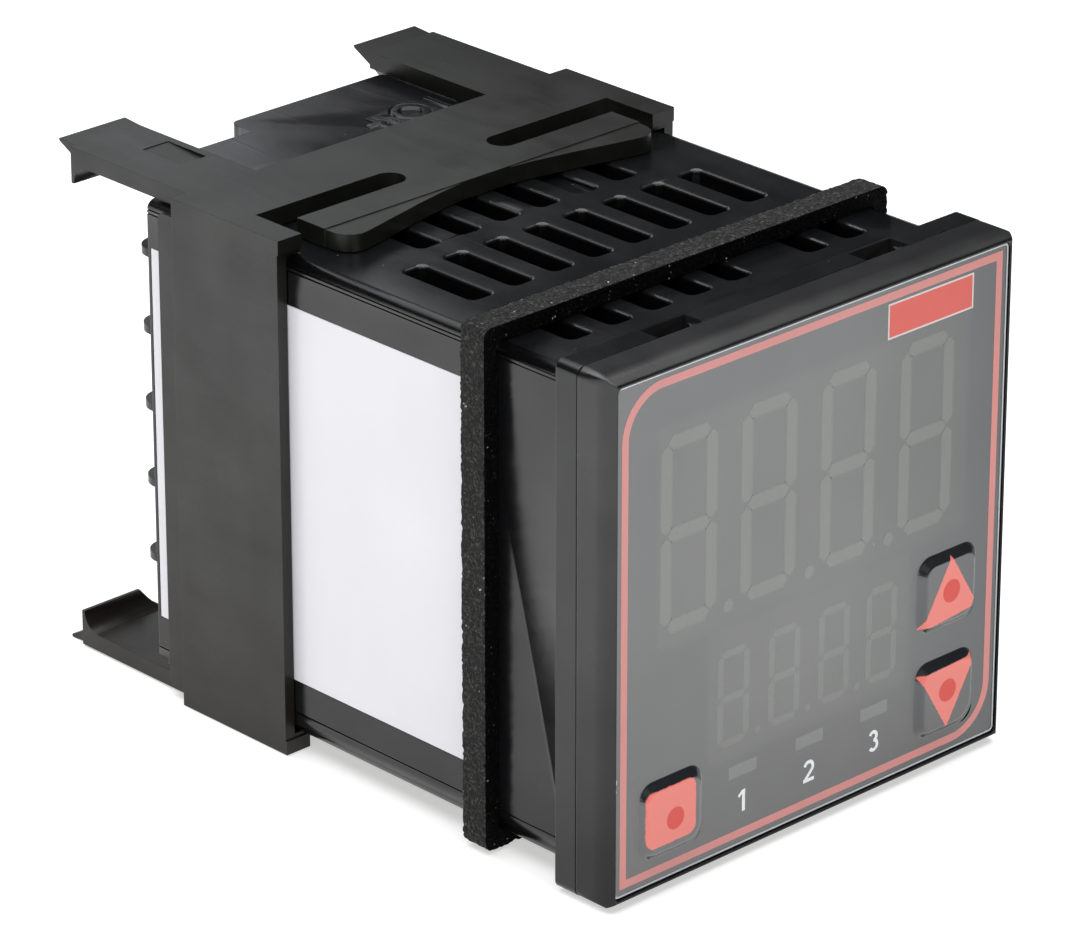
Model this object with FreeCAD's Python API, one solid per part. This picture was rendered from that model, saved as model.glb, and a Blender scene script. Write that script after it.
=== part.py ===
import FreeCAD, Part
import os, math
from FreeCAD import Vector as V

os.makedirs("parts", exist_ok=True)

# ---------------------------------------------------------------------------
# 1/16 DIN panel temperature controller, short case.
# Frame: origin at the centre of the rear face of the front flange (the panel
# seat), X to the right seen from the front, Y from the front to the rear,
# Z up.  Millimetres.
# ---------------------------------------------------------------------------

# --- driving dimensions ----------------------------------------------------
BEZEL = 48.0            # bezel and flange, square
BEZEL_FRONT = -6.55     # front plane of the bezel
SEAM = -2.4             # joint between bezel and sleeve flange
SEAM_GAP = 0.10
CASE = 44.8             # sleeve behind the panel, square
CASE_R = 0.9            # its long edges
WALL = 1.6
SIDE_END = 52.9         # rear edge of the side walls
TOP_END = 59.4          # rear edge of the top and bottom walls (middle part)
TONGUE_END = 62.4       # rear edge of the top tongue
MID_HALF = 11.3         # half width of the middle part at the rear
TONGUE_X = (-4.7, 13.95)   # sides of the top tongue; it runs just under the edge of the right clamp arm
VENT_PITCH = 4.66
VENT_W = 2.9
VENT_ROWS = ((4.7, 14.2), (16.5, 25.8), (28.0, 37.3))    # front and rear ends of the rows
RIM = 0.28              # chamfer round each vent

FILM_W, FILM_H = 46.4, 46.1
FILM_FACE = -6.25
FILM_T = 0.25

KEY_W, KEY_H = 7.5, 7.3          # foot of each raised key
KEY_RISE = 0.62                  # how far it stands proud of the film
KEY_TRAVEL = 0.30
KEY_SET = (-16.75, -17.15)
KEY_UP = (16.55, -7.15)
KEY_DOWN = (16.55, -17.20)

DIGIT_PITCH_U, DIGIT_W_U, DIGIT_H_U, DIGIT_Z_U = 9.45, 6.6, 17.6, 7.9
DIGIT_PITCH_L, DIGIT_W_L, DIGIT_H_L, DIGIT_Z_L = 5.97, 3.8, 9.0, -9.2
LED_X = (-8.0, 0.0, 8.0)
LED_Z = -16.0

GASKET = 48.0
GASKET_Y = (8.45, 11.45)

CLAMP_X = 23.55         # half width of the clamp ring
CLAMP_Z = 24.2          # half height
CLAMP_Y = (34.4, 48.3)
CLAMP_BORE = 22.49      # half of its square bore: a running fit on the case
LEAF_FRONT = 33.9
LEAF_REAR = 37.4
SLOT_REAR = 40.3
LEAF_X = 18.7
SLOT_X = 20.85
HUB_X = 5.3
ARM_X = (13.75, 21.65)  # sides of the top arms
LIP_X = 14.1            # inner side of the lips, beside the tongue
ARM_LOW = 22.1          # outer side of the bottom arms
ARM_END = 64.1
TIP_END = 66.3
LIP_Z = 20.7

TERM_PITCH = 7.3
RIB_TOP = 17.6          # upper face of the top barrier rib
RIB_T = 0.75
RIB_END = 55.5
BLOCK_Y = (48.3, 50.8)

INNER = CASE / 2 - WALL          # 20.8


# --- helpers ---------------------------------------------------------------
def box(x0, x1, y0, y1, z0, z1):
    return Part.makeBox(abs(x1 - x0), abs(y1 - y0), abs(z1 - z0),
                        V(min(x0, x1), min(y0, y1), min(z0, z1)))


def rrect(hx, hz, r, y, cx=0.0, cz=0.0):
    """Closed wire: rounded rectangle in the XZ plane at a given Y."""
    r = max(r, 0.01)
    k = math.sqrt(0.5) * r
    pts = []
    e = []
    x0, x1, z0, z1 = cx - hx, cx + hx, cz - hz, cz + hz
    e.append(Part.makeLine(V(x0 + r, y, z0), V(x1 - r, y, z0)))
    e.append(Part.Arc(V(x1 - r, y, z0), V(x1 - r + k, y, z0 + r - k), V(x1, y, z0 + r)).toShape())
    e.append(Part.makeLine(V(x1, y, z0 + r), V(x1, y, z1 - r)))
    e.append(Part.Arc(V(x1, y, z1 - r), V(x1 - r + k, y, z1 - r + k), V(x1 - r, y, z1)).toShape())
    e.append(Part.makeLine(V(x1 - r, y, z1), V(x0 + r, y, z1)))
    e.append(Part.Arc(V(x0 + r, y, z1), V(x0 + r - k, y, z1 - r + k), V(x0, y, z1 - r)).toShape())
    e.append(Part.makeLine(V(x0, y, z1 - r), V(x0, y, z0 + r)))
    e.append(Part.Arc(V(x0, y, z0 + r), V(x0 + r - k, y, z0 + r - k), V(x0 + r, y, z0)).toShape())
    return Part.Wire(e)


def rprism(hx, hz, r, y0, y1, cx=0.0, cz=0.0):
    return Part.Face(rrect(hx, hz, r, y0, cx, cz)).extrude(V(0, y1 - y0, 0))


def loft_y(hx0, hz0, r0, y0, hx1, hz1, r1, y1, cx=0.0, cz=0.0):
    return Part.makeLoft([rrect(hx0, hz0, r0, y0, cx, cz), rrect(hx1, hz1, r1, y1, cx, cz)], True, True)


def poly(pts, direction):
    """Prism from a closed polygon of 3-D points."""
    vs = [V(*p) for p in pts]
    return Part.Face(Part.makePolygon(vs + [vs[0]])).extrude(V(*direction))


def cyl(cx, cy, cz, r, length, axis):
    return Part.makeCylinder(r, length, V(cx, cy, cz), V(*axis))


def fuse(first, *rest):
    flat = []
    for s in rest:
        flat.extend(s if isinstance(s, (list, tuple)) else [s])
    out = first.multiFuse(flat) if flat else first
    return out.removeSplitter()


def cut(base, *tools):
    flat = []
    for s in tools:
        flat.extend(s if isinstance(s, (list, tuple)) else [s])
    out = base.cut(Part.makeCompound(flat)) if len(flat) > 1 else base.cut(flat[0])
    return out


def mirror_x(s):
    return s.mirror(V(0, 0, 0), V(1, 0, 0))


def mirror_z(s):
    return s.mirror(V(0, 0, 0), V(0, 0, 1))


def slot_z(x0, x1, y0, y1, z0, z1, r):
    """Vertical prism (along Z) with rounded corners in plan."""
    r = min(r, abs(x1 - x0) / 2 - 0.01, abs(y1 - y0) / 2 - 0.01)
    k = math.sqrt(0.5) * r
    e = [Part.makeLine(V(x0 + r, y0, z0), V(x1 - r, y0, z0)),
         Part.Arc(V(x1 - r, y0, z0), V(x1 - r + k, y0 + r - k, z0), V(x1, y0 + r, z0)).toShape(),
         Part.makeLine(V(x1, y0 + r, z0), V(x1, y1 - r, z0)),
         Part.Arc(V(x1, y1 - r, z0), V(x1 - r + k, y1 - r + k, z0), V(x1 - r, y1, z0)).toShape(),
         Part.makeLine(V(x1 - r, y1, z0), V(x0 + r, y1, z0)),
         Part.Arc(V(x0 + r, y1, z0), V(x0 + r - k, y1 - r + k, z0), V(x0, y1 - r, z0)).toShape(),
         Part.makeLine(V(x0, y1 - r, z0), V(x0, y0 + r, z0)),
         Part.Arc(V(x0, y0 + r, z0), V(x0 + r - k, y0 + r - k, z0), V(x0 + r, y0, z0)).toShape()]
    w = Part.Wire(e)
    return Part.Face(w).extrude(V(0, 0, z1 - z0)), w


def export(name, shape):
    solids = shape.Solids
    if len(solids) == 1:
        shape = solids[0]
    else:
        shape = Part.makeCompound(solids)
    shape.exportStep("parts/%s.step" % name)
    bb = shape.BoundBox
    print("%-22s solids %2d vol %9.2f valid %s  x %.2f..%.2f y %.2f..%.2f z %.2f..%.2f" % (
        name, len(solids), shape.Volume, shape.isValid(),
        bb.XMin, bb.XMax, bb.YMin, bb.YMax, bb.ZMin, bb.ZMax))


H = CASE / 2

# ---------------------------------------------------------------------------
# Sleeve: one moulding, flange at the front, vents top and bottom, open ends
# ---------------------------------------------------------------------------
body = rprism(H, H, CASE_R, SEAM, TONGUE_END)
flange = rprism(BEZEL / 2, BEZEL / 2, 0.8, SEAM, 0.0)
sleeve = fuse(body, flange)
sleeve = cut(sleeve, rprism(INNER, INNER, 0.6, SEAM - 1, TONGUE_END + 1))
# the walls end further forward outside the middle part
trim = []
for sx in (-1, 1):
    trim.append(box(sx * MID_HALF, sx * 30, SIDE_END, TONGUE_END + 2, -30, 0))
    trim.append(box(sx * MID_HALF, sx * 30, 51.7, TONGUE_END + 2, -30, -21.1))
trim.append(box(-30, -MID_HALF, SIDE_END, TONGUE_END + 2, -1, 30))
trim.append(box(TONGUE_X[1], 30, SIDE_END, TONGUE_END + 2, -1, 30))
trim.append(box(MID_HALF, 30, SIDE_END, TONGUE_END + 2, -1, INNER))
trim.append(box(-30, 30, TOP_END, TONGUE_END + 2, -30, 0))
trim.append(box(-30, TONGUE_X[0], TOP_END, TONGUE_END + 2, 0, 30))
sleeve = cut(sleeve, trim)
# round the two free corners of the tongue in plan
for cx, sgn in ((TONGUE_X[0], 1), (TONGUE_X[1], -1)):
    r = 0.9
    corner = box(cx, cx + sgn * r, TONGUE_END - r, TONGUE_END + 1, 15, 25)
    corner = cut(corner, cyl(cx + sgn * r, TONGUE_END - r, 14, r, 12, (0, 0, 1)))
    sleeve = cut(sleeve, corner)
# vents, with a small chamfer round each rim; two of them are blind
vent_tools = []
for row, (y0, y1) in enumerate(VENT_ROWS):
    for i in range(8):
        cx = (i - 3.5) * VENT_PITCH
        if row == 2 and i in (0, 7):
            continue
        if row == 0 and i == 5:
            continue
        blind = (row == 2 and i == 5)
        depth = 0.5 if blind else WALL + 1.0
        x0, x1 = cx - VENT_W / 2, cx + VENT_W / 2
        hole, _ = slot_z(x0 + RIM, x1 - RIM, y0 + RIM, y1 - RIM, H - depth, H + 0.5, 0.55)
        _, wa = slot_z(x0, x1, y0, y1, H + 0.001, H + 1, 0.55 + RIM)
        _, wb = slot_z(x0 + RIM, x1 - RIM, y0 + RIM, y1 - RIM, H - RIM, H + 1, 0.55)
        rim = Part.makeLoft([wa, wb], True, True)
        vent_tools += [hole, rim]
        if not blind:
            vent_tools += [mirror_z(hole), mirror_z(rim)]
sleeve = cut(sleeve, vent_tools)
# lever slots in the flange, top and bottom, at the seam
lever = []
for sx in (-1, 1):
    a, b = sx * 9.7, sx * 14.8
    lever.append(box(a, b, SEAM - 1, -0.35, 22.3, 25))
    lever.append(box(a, b, SEAM - 1, -0.35, -25, -22.3))
sleeve = cut(sleeve, lever)
# two fine tool lines along each side, below the top edge and above the bottom
lines = []
for sx in (-1, 1):
    for z in (21.58, 21.22, -20.35):
        lines.append(box(sx * (H - 0.10), sx * (H + 1), 1.0, SIDE_END + 1, z - 0.07, z + 0.07))
sleeve = cut(sleeve, lines)
# shallow bed for the label on the left side
LABEL_Y = (10.2, 52.55)
LABEL_Z = (-17.3, 18.1)
sleeve = cut(sleeve, box(-H - 1, -H + 0.12, LABEL_Y[0], LABEL_Y[1], LABEL_Z[0], LABEL_Z[1]))
# moulded marks on the top near the rear: a ring, a bar and a small cross of strokes, each
# standing in its own shallow recess and staying below the clamp's underside
MARK_H, MARK_D = 0.06, 0.30
moats, studs = [], []
moats.append(cyl(9.0, 53.4, H - MARK_D, 2.05, 2, (0, 0, 1)))
studs.append(cyl(9.0, 53.4, H - MARK_D - 0.05, 1.75, MARK_D + 0.05 + MARK_H, (0, 0, 1)).cut(
    cyl(9.0, 53.4, H - MARK_D, 1.15, 2, (0, 0, 1))))
moats.append(box(11.75, 12.75, 50.9, 55.2, H - MARK_D, H + 2))
studs.append(box(11.95, 12.55, 51.1, 55.0, H - MARK_D - 0.05, H + MARK_H))
for x0, x1, y0, y1 in ((4.7, 5.3, 51.6, 54.6), (3.6, 6.5, 52.75, 53.35), (5.9, 6.5, 51.9, 53.0)):
    moats.append(box(x0 - 0.2, x1 + 0.2, y0 - 0.2, y1 + 0.2, H - MARK_D, H + 2))
    studs.append(box(x0, x1, y0, y1, H - MARK_D - 0.05, H + MARK_H))
sleeve = cut(sleeve, moats)
sleeve = fuse(sleeve, studs)
# inner guide rails for the two boards, top and bottom
rails = []
for sx in (-1, 1):
    for a, b in ((14.15, 14.75), (16.95, 17.55)):
        rails.append(box(sx * a, sx * b, 20.0, 43.5, 19.0, INNER + 0.05))
        rails.append(box(sx * a, sx * b, 20.0, 43.5, -19.0, -INNER - 0.05))
sleeve = fuse(sleeve, rails)
export("case_sleeve", sleeve)

# ---------------------------------------------------------------------------
# Side label
# ---------------------------------------------------------------------------
label = box(-H + 0.02, -H + 0.12, LABEL_Y[0] + 0.05, LABEL_Y[1] - 0.05, LABEL_Z[0] + 0.05, LABEL_Z[1] - 0.05)
export("side_label", label)

# ---------------------------------------------------------------------------
# Rear terminal block: closing wall, raised middle, barrier ribs
# ---------------------------------------------------------------------------
block = rprism(INNER - 0.03, INNER - 0.03, 0.6, BLOCK_Y[0], BLOCK_Y[1])
mid = rprism(MID_HALF - 0.4, INNER - 0.03, 0.5, BLOCK_Y[1] - 0.1, TOP_END - 0.4)
mid = cut(mid, rprism(MID_HALF - 2.2, INNER - 2.2, 0.8, BLOCK_Y[0] - 1, TOP_END - 2.0))
block = fuse(block, mid)
block = cut(block, rprism(MID_HALF - 2.2, INNER - 2.2, 0.8, BLOCK_Y[0] - 1, BLOCK_Y[1] + 1))
# pockets for the contact tails through the closing wall, pilot holes for the screws
pockets = []
term_zs = [RIB_TOP - RIB_T / 2 - TERM_PITCH * (i + 0.5) for i in range(5)]
for sx in (-1, 1):
    for z in term_zs:
        pockets.append(box(sx * 16.6, sx * 17.9, BLOCK_Y[0] - 1, BLOCK_Y[1] + 1, z - 1.3, z + 1.3))
        pockets.append(cyl(sx * 14.7, BLOCK_Y[1] - 2.0, z, 1.6, 3, (0, 1, 0)))
block = cut(block, pockets)
export("rear_terminal_block", block)

# barrier ribs between the terminals: thin plates standing on the closing wall
ribs = []
rib_zs = [RIB_TOP - TERM_PITCH * i for i in range(5)]
for sx in (-1, 1):
    for zt in rib_zs:
        r = box(sx * (MID_HALF - 0.4), sx * (INNER - 0.03), BLOCK_Y[1], RIB_END, zt - RIB_T, zt)
        # beyond the side wall's rear edge the rib widens to the full width, its corner rounded
        w = box(sx * 18.0, sx * 22.0, SIDE_END + 0.05, RIB_END, zt - RIB_T, zt)
        rc = 1.9
        cx = sx * (22.0 - rc)
        corner = box(cx, cx + sx * (rc + 1), RIB_END - rc, RIB_END + 1, zt - RIB_T - 0.1, zt + 0.1)
        corner = cut(corner, cyl(cx, RIB_END - rc, zt - RIB_T - 0.2, rc, RIB_T + 0.4, (0, 0, 1)))
        ribs.append(cut(fuse(r, w), corner))
export("terminal_barriers", Part.makeCompound(ribs))

# ---------------------------------------------------------------------------
# Terminals: plate with tail, square clamp washer, screw
# ---------------------------------------------------------------------------
plates, washers, screws = [], [], []
for sx in (-1, 1):
    for z in term_zs:
        p = box(sx * 11.1, sx * 18.6, BLOCK_Y[1], BLOCK_Y[1] + 0.8, z - 2.9, z + 2.9)
        tail = box(sx * 16.95, sx * 17.55, 44.2, BLOCK_Y[1] + 0.4, z - 1.0, z + 1.0)
        p = fuse(p, tail)
        p = cut(p, cyl(sx * 14.7, BLOCK_Y[1] - 1, z, 1.30, 3, (0, 1, 0)))
        plates.append(p)
        w = box(sx * 11.7, sx * 17.6, BLOCK_Y[1] + 1.7, BLOCK_Y[1] + 2.5, z - 2.9, z + 2.9)
        w = cut(w, cyl(sx * 14.7, BLOCK_Y[1], z, 1.45, 4, (0, 1, 0)))
        lip = box(sx * 11.7, sx * 12.2, BLOCK_Y[1] + 0.8, BLOCK_Y[1] + 2.0, z - 2.9, z + 2.9)
        washers.append(fuse(w, lip))
        y0 = BLOCK_Y[1] + 2.5
        head = cyl(sx * 14.7, y0, z, 2.6, 1.7, (0, 1, 0))
        top = [e for e in head.Edges if abs(e.BoundBox.YMin - (y0 + 1.7)) < 1e-6 and len(e.Vertexes) == 1]
        head = head.makeFillet(0.6, top)
        shank = cyl(sx * 14.7, BLOCK_Y[1] - 1.8, z, 1.30, 4.4, (0, 1, 0))
        s = fuse(head, shank)
        s = cut(s, box(sx * 14.7 - 2.9, sx * 14.7 + 2.9, y0 + 0.8, y0 + 2, z - 0.35, z + 0.35),
                box(sx * 14.7 - 0.35, sx * 14.7 + 0.35, y0 + 0.8, y0 + 2, z - 1.6, z + 1.6))
        screws.append(s)
export("terminal_plates", Part.makeCompound(plates))
export("clamp_washers", Part.makeCompound(washers))
export("terminal_screws", Part.makeCompound(screws))

# ---------------------------------------------------------------------------
# Front bezel: frame, film bed, front plate with windows, locating skirt
# ---------------------------------------------------------------------------
def bezel_outer():
    """Square block whose front edges roll over with a large radius."""
    hb = BEZEL / 2
    y1 = SEAM - SEAM_GAP
    R, dy = 3.4, 2.0
    inset = R - math.sqrt(R * R - dy * dy)
    ys = BEZEL_FRONT + dy
    # section in (u, y): u is the distance from the axis
    am = math.asin(dy / R) / 2
    mid = (hb - R + R * math.cos(am), ys - R * math.sin(am))
    def section(axis):
        def P(u, y):
            return V(u, y, -hb - 1) if axis == "x" else V(-hb - 1, y, u)
        e = [Part.makeLine(P(-hb, y1), P(hb, y1)),
             Part.makeLine(P(hb, y1), P(hb, ys)),
             Part.Arc(P(hb, ys), P(*mid), P(hb - inset, BEZEL_FRONT)).toShape(),
             Part.makeLine(P(hb - inset, BEZEL_FRONT), P(-hb + inset, BEZEL_FRONT)),
             Part.Arc(P(-hb + inset, BEZEL_FRONT), P(-mid[0], mid[1]), P(-hb, ys)).toShape(),
             Part.makeLine(P(-hb, ys), P(-hb, y1))]
        w = Part.Wire(e)
        ext = V(0, 0, BEZEL + 2) if axis == "x" else V(BEZEL + 2, 0, 0)
        return Part.Face(w).extrude(ext)
    s = section("x").common(section("z"))
    return s.common(rprism(hb, hb, 0.9, BEZEL_FRONT - 1, y1 + 1))


bezel = bezel_outer()
PLATE = (FILM_FACE + FILM_T, -4.9)
bezel = cut(bezel, rprism(FILM_W / 2 + 0.12, FILM_H / 2 + 0.12, 0.5, BEZEL_FRONT - 1, PLATE[0]))
bezel = cut(bezel, rprism(21.6, 21.6, 1.0, PLATE[1], 0))
BOARD_F = (1.15, 2.75)          # display board, against the rear end of the skirt
skirt = rprism(20.4, 20.4, 0.8, -3.6, BOARD_F[0])
skirt = cut(skirt, rprism(19.5, 19.5, 0.8, PLATE[1] - 1, 2))
web = rprism(22.0, 22.0, 1.0, -3.6, SEAM - SEAM_GAP).cut(rprism(19.6, 19.6, 0.8, -5, 0))
bezel = fuse(bezel, skirt, web)
# groove for the seal in the rear face
SEAL_Y = (-3.2, -2.7)
bezel = cut(bezel, rprism(22.3, 22.3, 1.2, SEAL_Y[0], 0).cut(rprism(21.2, 21.2, 0.9, -5, 1)))
UW = (2 * DIGIT_PITCH_U - DIGIT_PITCH_U / 2 + DIGIT_W_U / 2 + 1.0)
LW = (2 * DIGIT_PITCH_L - DIGIT_PITCH_L / 2 + DIGIT_W_L / 2 + 0.9)
windows = [rprism(UW + 0.15, DIGIT_H_U / 2 + 1.15, 0.6, -8, PLATE[1] + 0.1, 0, DIGIT_Z_U),
           rprism(LW + 0.15, DIGIT_H_L / 2 + 0.85, 0.4, -8, PLATE[1] + 0.1, 0, DIGIT_Z_L)]
for x in LED_X:
    windows.append(rprism(1.75, 0.7, 0.2, -8, PLATE[1] + 0.1, x, LED_Z))
for cx, cz in (KEY_SET, KEY_UP, KEY_DOWN):
    windows.append(rprism(KEY_W / 2 + 0.10, KEY_H / 2 + 0.10, 1.5, -8, PLATE[1] + 0.1, cx, cz))
bezel = cut(bezel, windows)
# four latch legs behind the skirt, in line with the lever slots
legs = []
for sx in (-1, 1):
    for sz in (-1, 1):
        leg = box(sx * 10.2, sx * 14.0, 0.5, 9.0, sz * 19.5, sz * 20.3)
        nub = poly([(sx * 10.2, 7.4, sz * 20.25), (sx * 10.2, 9.0, sz * 20.25), (sx * 10.2, 8.2, sz * 20.5)],
                   (sx * 3.8, 0, 0))
        legs.append(fuse(leg, nub))
bezel = fuse(bezel, legs)
export("front_bezel", bezel)

# rubber ring in the groove of the bezel's rear face
seal = rprism(22.3, 22.3, 1.2, SEAL_Y[0], SEAL_Y[1]).cut(rprism(21.2, 21.2, 0.9, -5, 1))
export("bezel_seal", seal)

# ---------------------------------------------------------------------------
# Front film with openings for the three keys
# ---------------------------------------------------------------------------
film = rprism(FILM_W / 2, FILM_H / 2, 0.45, FILM_FACE, FILM_FACE + FILM_T)
film = cut(film, [rprism(KEY_W / 2 + 0.05, KEY_H / 2 + 0.05, 1.45, -8, -5, cx, cz)
                  for cx, cz in (KEY_SET, KEY_UP, KEY_DOWN)])
export("front_film", film)

# keys: raised cap that closes its opening, thick web behind, stem to the switch
for name, (cx, cz) in (("key_set", KEY_SET), ("key_up", KEY_UP), ("key_down", KEY_DOWN)):
    foot = rprism(KEY_W / 2, KEY_H / 2, 1.4, FILM_FACE, PLATE[1] - 0.15, cx, cz)
    cap = loft_y(KEY_W / 2, KEY_H / 2, 1.4, FILM_FACE, KEY_W / 2 - 0.85, KEY_H / 2 - 0.85, 0.9,
                 FILM_FACE - KEY_RISE, cx, cz)
    stem = cyl(cx, PLATE[1] - 0.3, cz, 1.5, 2.3, (0, 1, 0))
    # collar behind the front plate, so the key can't fall out
    collar = rprism(KEY_W / 2 + 0.55, KEY_H / 2 + 0.45, 1.6, PLATE[1] + 0.3, PLATE[1] + 0.8, cx, cz)
    neck = rprism(KEY_W / 2 - 0.6, KEY_H / 2 - 0.6, 1.0, PLATE[1] - 0.3, PLATE[1] + 0.4, cx, cz)
    k = fuse(foot, cap, stem, neck, collar)
    export(name, k)

# ---------------------------------------------------------------------------
# Displays, indicator lamps and switches on the display board
# ---------------------------------------------------------------------------
FACE_D = FILM_FACE + FILM_T + 0.10


def digit_wells(cx, cz, w, h, t, y, depth):
    """Segment wells of one digit, cut into a display face."""
    g = 0.12
    segs = []
    def hseg(z):
        x0, x1 = cx - w / 2 + t / 2 + g, cx + w / 2 - t / 2 - g
        return poly([(x0, y, z), (x0 + t / 2, y, z + t / 2), (x1 - t / 2, y, z + t / 2), (x1, y, z),
                     (x1 - t / 2, y, z - t / 2), (x0 + t / 2, y, z - t / 2)], (0, depth, 0))
    def vseg(x, z0, z1):
        return poly([(x, y, z0 + g), (x + t / 2, y, z0 + t / 2 + g), (x + t / 2, y, z1 - t / 2 - g), (x, y, z1 - g),
                     (x - t / 2, y, z1 - t / 2 - g), (x - t / 2, y, z0 + t / 2 + g)], (0, depth, 0))
    zb, zm, zt = cz - h / 2 + t / 2, cz, cz + h / 2 - t / 2
    segs += [hseg(zb), hseg(zm), hseg(zt)]
    for x in (cx - w / 2 + t / 2, cx + w / 2 - t / 2):
        segs += [vseg(x, zb, zm), vseg(x, zm, zt)]
    return segs


upper = rprism(UW, DIGIT_H_U / 2 + 1.0, 0.5, FACE_D, BOARD_F[0], 0, DIGIT_Z_U)
wells = []
for i in range(4):
    cx = (i - 1.5) * DIGIT_PITCH_U
    wells += digit_wells(cx, DIGIT_Z_U, DIGIT_W_U, DIGIT_H_U, 1.25, FACE_D - 0.1, 0.35)
    if i < 3:
        wells.append(cyl(cx + DIGIT_PITCH_U / 2, FACE_D - 0.1, DIGIT_Z_U - DIGIT_H_U / 2 + 0.6, 0.6, 0.35, (0, 1, 0)))
upper = cut(upper, wells)
export("upper_display", upper)

lower = rprism(LW, DIGIT_H_L / 2 + 0.7, 0.3, FACE_D, BOARD_F[0], 0, DIGIT_Z_L)
wells = []
for i in range(4):
    cx = (i - 1.5) * DIGIT_PITCH_L
    wells += digit_wells(cx, DIGIT_Z_L, DIGIT_W_L, DIGIT_H_L, 0.72, FACE_D - 0.1, 0.35)
    if i < 3:
        wells.append(cyl(cx + DIGIT_PITCH_L / 2, FACE_D - 0.1, DIGIT_Z_L - DIGIT_H_L / 2 + 0.35, 0.36, 0.35, (0, 1, 0)))
lower = cut(lower, wells)
export("lower_display", lower)

leds = []
for x in LED_X:
    lens = rprism(1.65, 0.6, 0.15, FACE_D, -4.0, x, LED_Z)
    base = rprism(1.9, 0.95, 0.15, -4.2, BOARD_F[0], x, LED_Z)
    leds.append(fuse(lens, base))
export("indicator_lamps", Part.makeCompound(leds))

board = rprism(20.2, 20.2, 0.8, BOARD_F[0], BOARD_F[1])
# notches where the latch legs pass, slots where the two long boards plug in
for sx in (-1, 1):
    for sz in (-1, 1):
        board = cut(board, box(sx * 9.9, sx * 14.6, 0, 4, sz * 19.2, sz * 21))
export("display_board", board)

switches = []
for cx, cz in (KEY_SET, KEY_UP, KEY_DOWN):
    b = rprism(2.4, 2.1, 0.4, -1.35, BOARD_F[0], cx - 0.45 * (1 if cx > 0 else -1), cz)
    k = cyl(cx, -2.3, cz, 1.2, 1.2, (0, 1, 0))
    switches.append(fuse(b, k))
export("key_switches", Part.makeCompound(switches))

# ---------------------------------------------------------------------------
# Long boards and what they carry
# ---------------------------------------------------------------------------
BL = (-17.6, -16.0)      # left board
BR = (16.0, 17.6)        # right board
LONG_Y = (BOARD_F[1], 46.6)


def long_board(x0, x1):
    b = box(x0, x1, LONG_Y[0], 43.9, -19.4, 19.4)
    b = fuse(b, box(x0, x1, 43.8, LONG_Y[1], -17.5, 18.5))
    return b


# the rear ends of the boards slide beside the contact tails, clear of them
main_board = long_board(BL[0] + 0.95, BL[1] + 0.95)
power_board = long_board(BR[0] - 0.95, BR[1] - 0.95)
export("main_board", main_board)
export("power_board", power_board)
MX = BL[1] + 0.95        # component side of the left board (faces +X)
PX = BR[0] - 0.95        # component side of the right board (faces -X)

headers = []
for x0, x1 in ((MX, MX + 2.5), (PX - 2.5, PX)):
    h = box(x0, x1, BOARD_F[1], BOARD_F[1] + 6.0, -13.0, 13.0)
    headers.append(h)
export("board_headers", Part.makeCompound(headers))

# relays on the left board
for name, z in (("output_relay_1", 10.5), ("output_relay_2", -4.5)):
    r = box(MX, MX + 10.0, 23.5, 43.5, z - 5.0, z + 5.0)
    r = r.makeFillet(0.5, [e for e in r.Edges])
    pins = [box(MX - 0.4, MX + 0.6, y - 0.3, y + 0.3, z + d - 0.3, z + d + 0.3)
            for y in (25.5, 33.0, 41.5) for d in (-3.7, 3.7)]
    r = fuse(r, box(MX, MX + 1.0, 24.2, 42.8, z - 4.4, z + 4.4))
    export(name, r)

# microcontroller: flat pack with its legs on the left board
chip = box(MX + 0.25, MX + 1.65, 11.0, 21.0, -5.0, 5.0)
legs = []
for i in range(11):
    t = -4.0 + 0.8 * i
    legs.append(box(MX, MX + 0.6, 16 + t - 0.15, 16 + t + 0.15, 4.7, 6.0))
    legs.append(box(MX, MX + 0.6, 16 + t - 0.15, 16 + t + 0.15, -6.0, -4.7))
    legs.append(box(MX, MX + 0.6, 9.9, 11.3, t - 0.15, t + 0.15))
    legs.append(box(MX, MX + 0.6, 20.7, 22.1, t - 0.15, t + 0.15))
export("microcontroller", fuse(chip, legs))

crystal = box(MX, MX + 3.2, 12.0, 20.5, 8.6, 12.4)
crystal = crystal.makeFillet(1.2, [e for e in crystal.Edges if abs(e.Vertexes[0].X - e.Vertexes[-1].X) > 2])
export("crystal", crystal)

memory = fuse(box(MX + 0.2, MX + 1.6, 12.5, 17.5, -12.4, -8.6),
              [box(MX, MX + 0.5, 13.1 + 1.27 * i - 0.2, 13.1 + 1.27 * i + 0.2, z0, z0 + 1.3)
               for i in range(4) for z0 in (-13.4, -8.9)])
export("memory_chip", memory)

driver = fuse(box(MX + 0.2, MX + 3.5, 23.6, 33.4, -16.6, -12.4),
              [box(MX, MX + 1.2, 24.8 + 2.54 * i - 0.3, 24.8 + 2.54 * i + 0.3, z0, z0 + 0.9)
               for i in range(3) for z0 in (-17.3, -12.6)])
export("output_driver", driver)

# power side: transformer with bobbin, capacitors, rectifier, regulator, choke
core = box(PX - 12.0, PX - 3.0, 26.0, 42.0, 1.0, 15.0)
core = cut(core, box(PX - 14, PX, 29.0, 31.5, 3.5, 12.5), box(PX - 14, PX, 36.5, 39.0, 3.5, 12.5))
export("transformer_core", core)
winding = cut(box(PX - 13.8, PX - 1.2, 29.0, 39.0, 3.5, 12.5), box(PX - 12.0, PX - 3.0, 31.5, 36.5, 0, 20))
export("transformer_winding", winding)
base = fuse(box(PX - 1.2, PX, 27.0, 41.0, 1.0, 15.0), box(PX - 3.0, PX - 1.1, 27.0, 28.8, 1.0, 15.0),
            box(PX - 3.0, PX - 1.1, 39.2, 41.0, 1.0, 15.0))
export("transformer_base", base)

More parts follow.
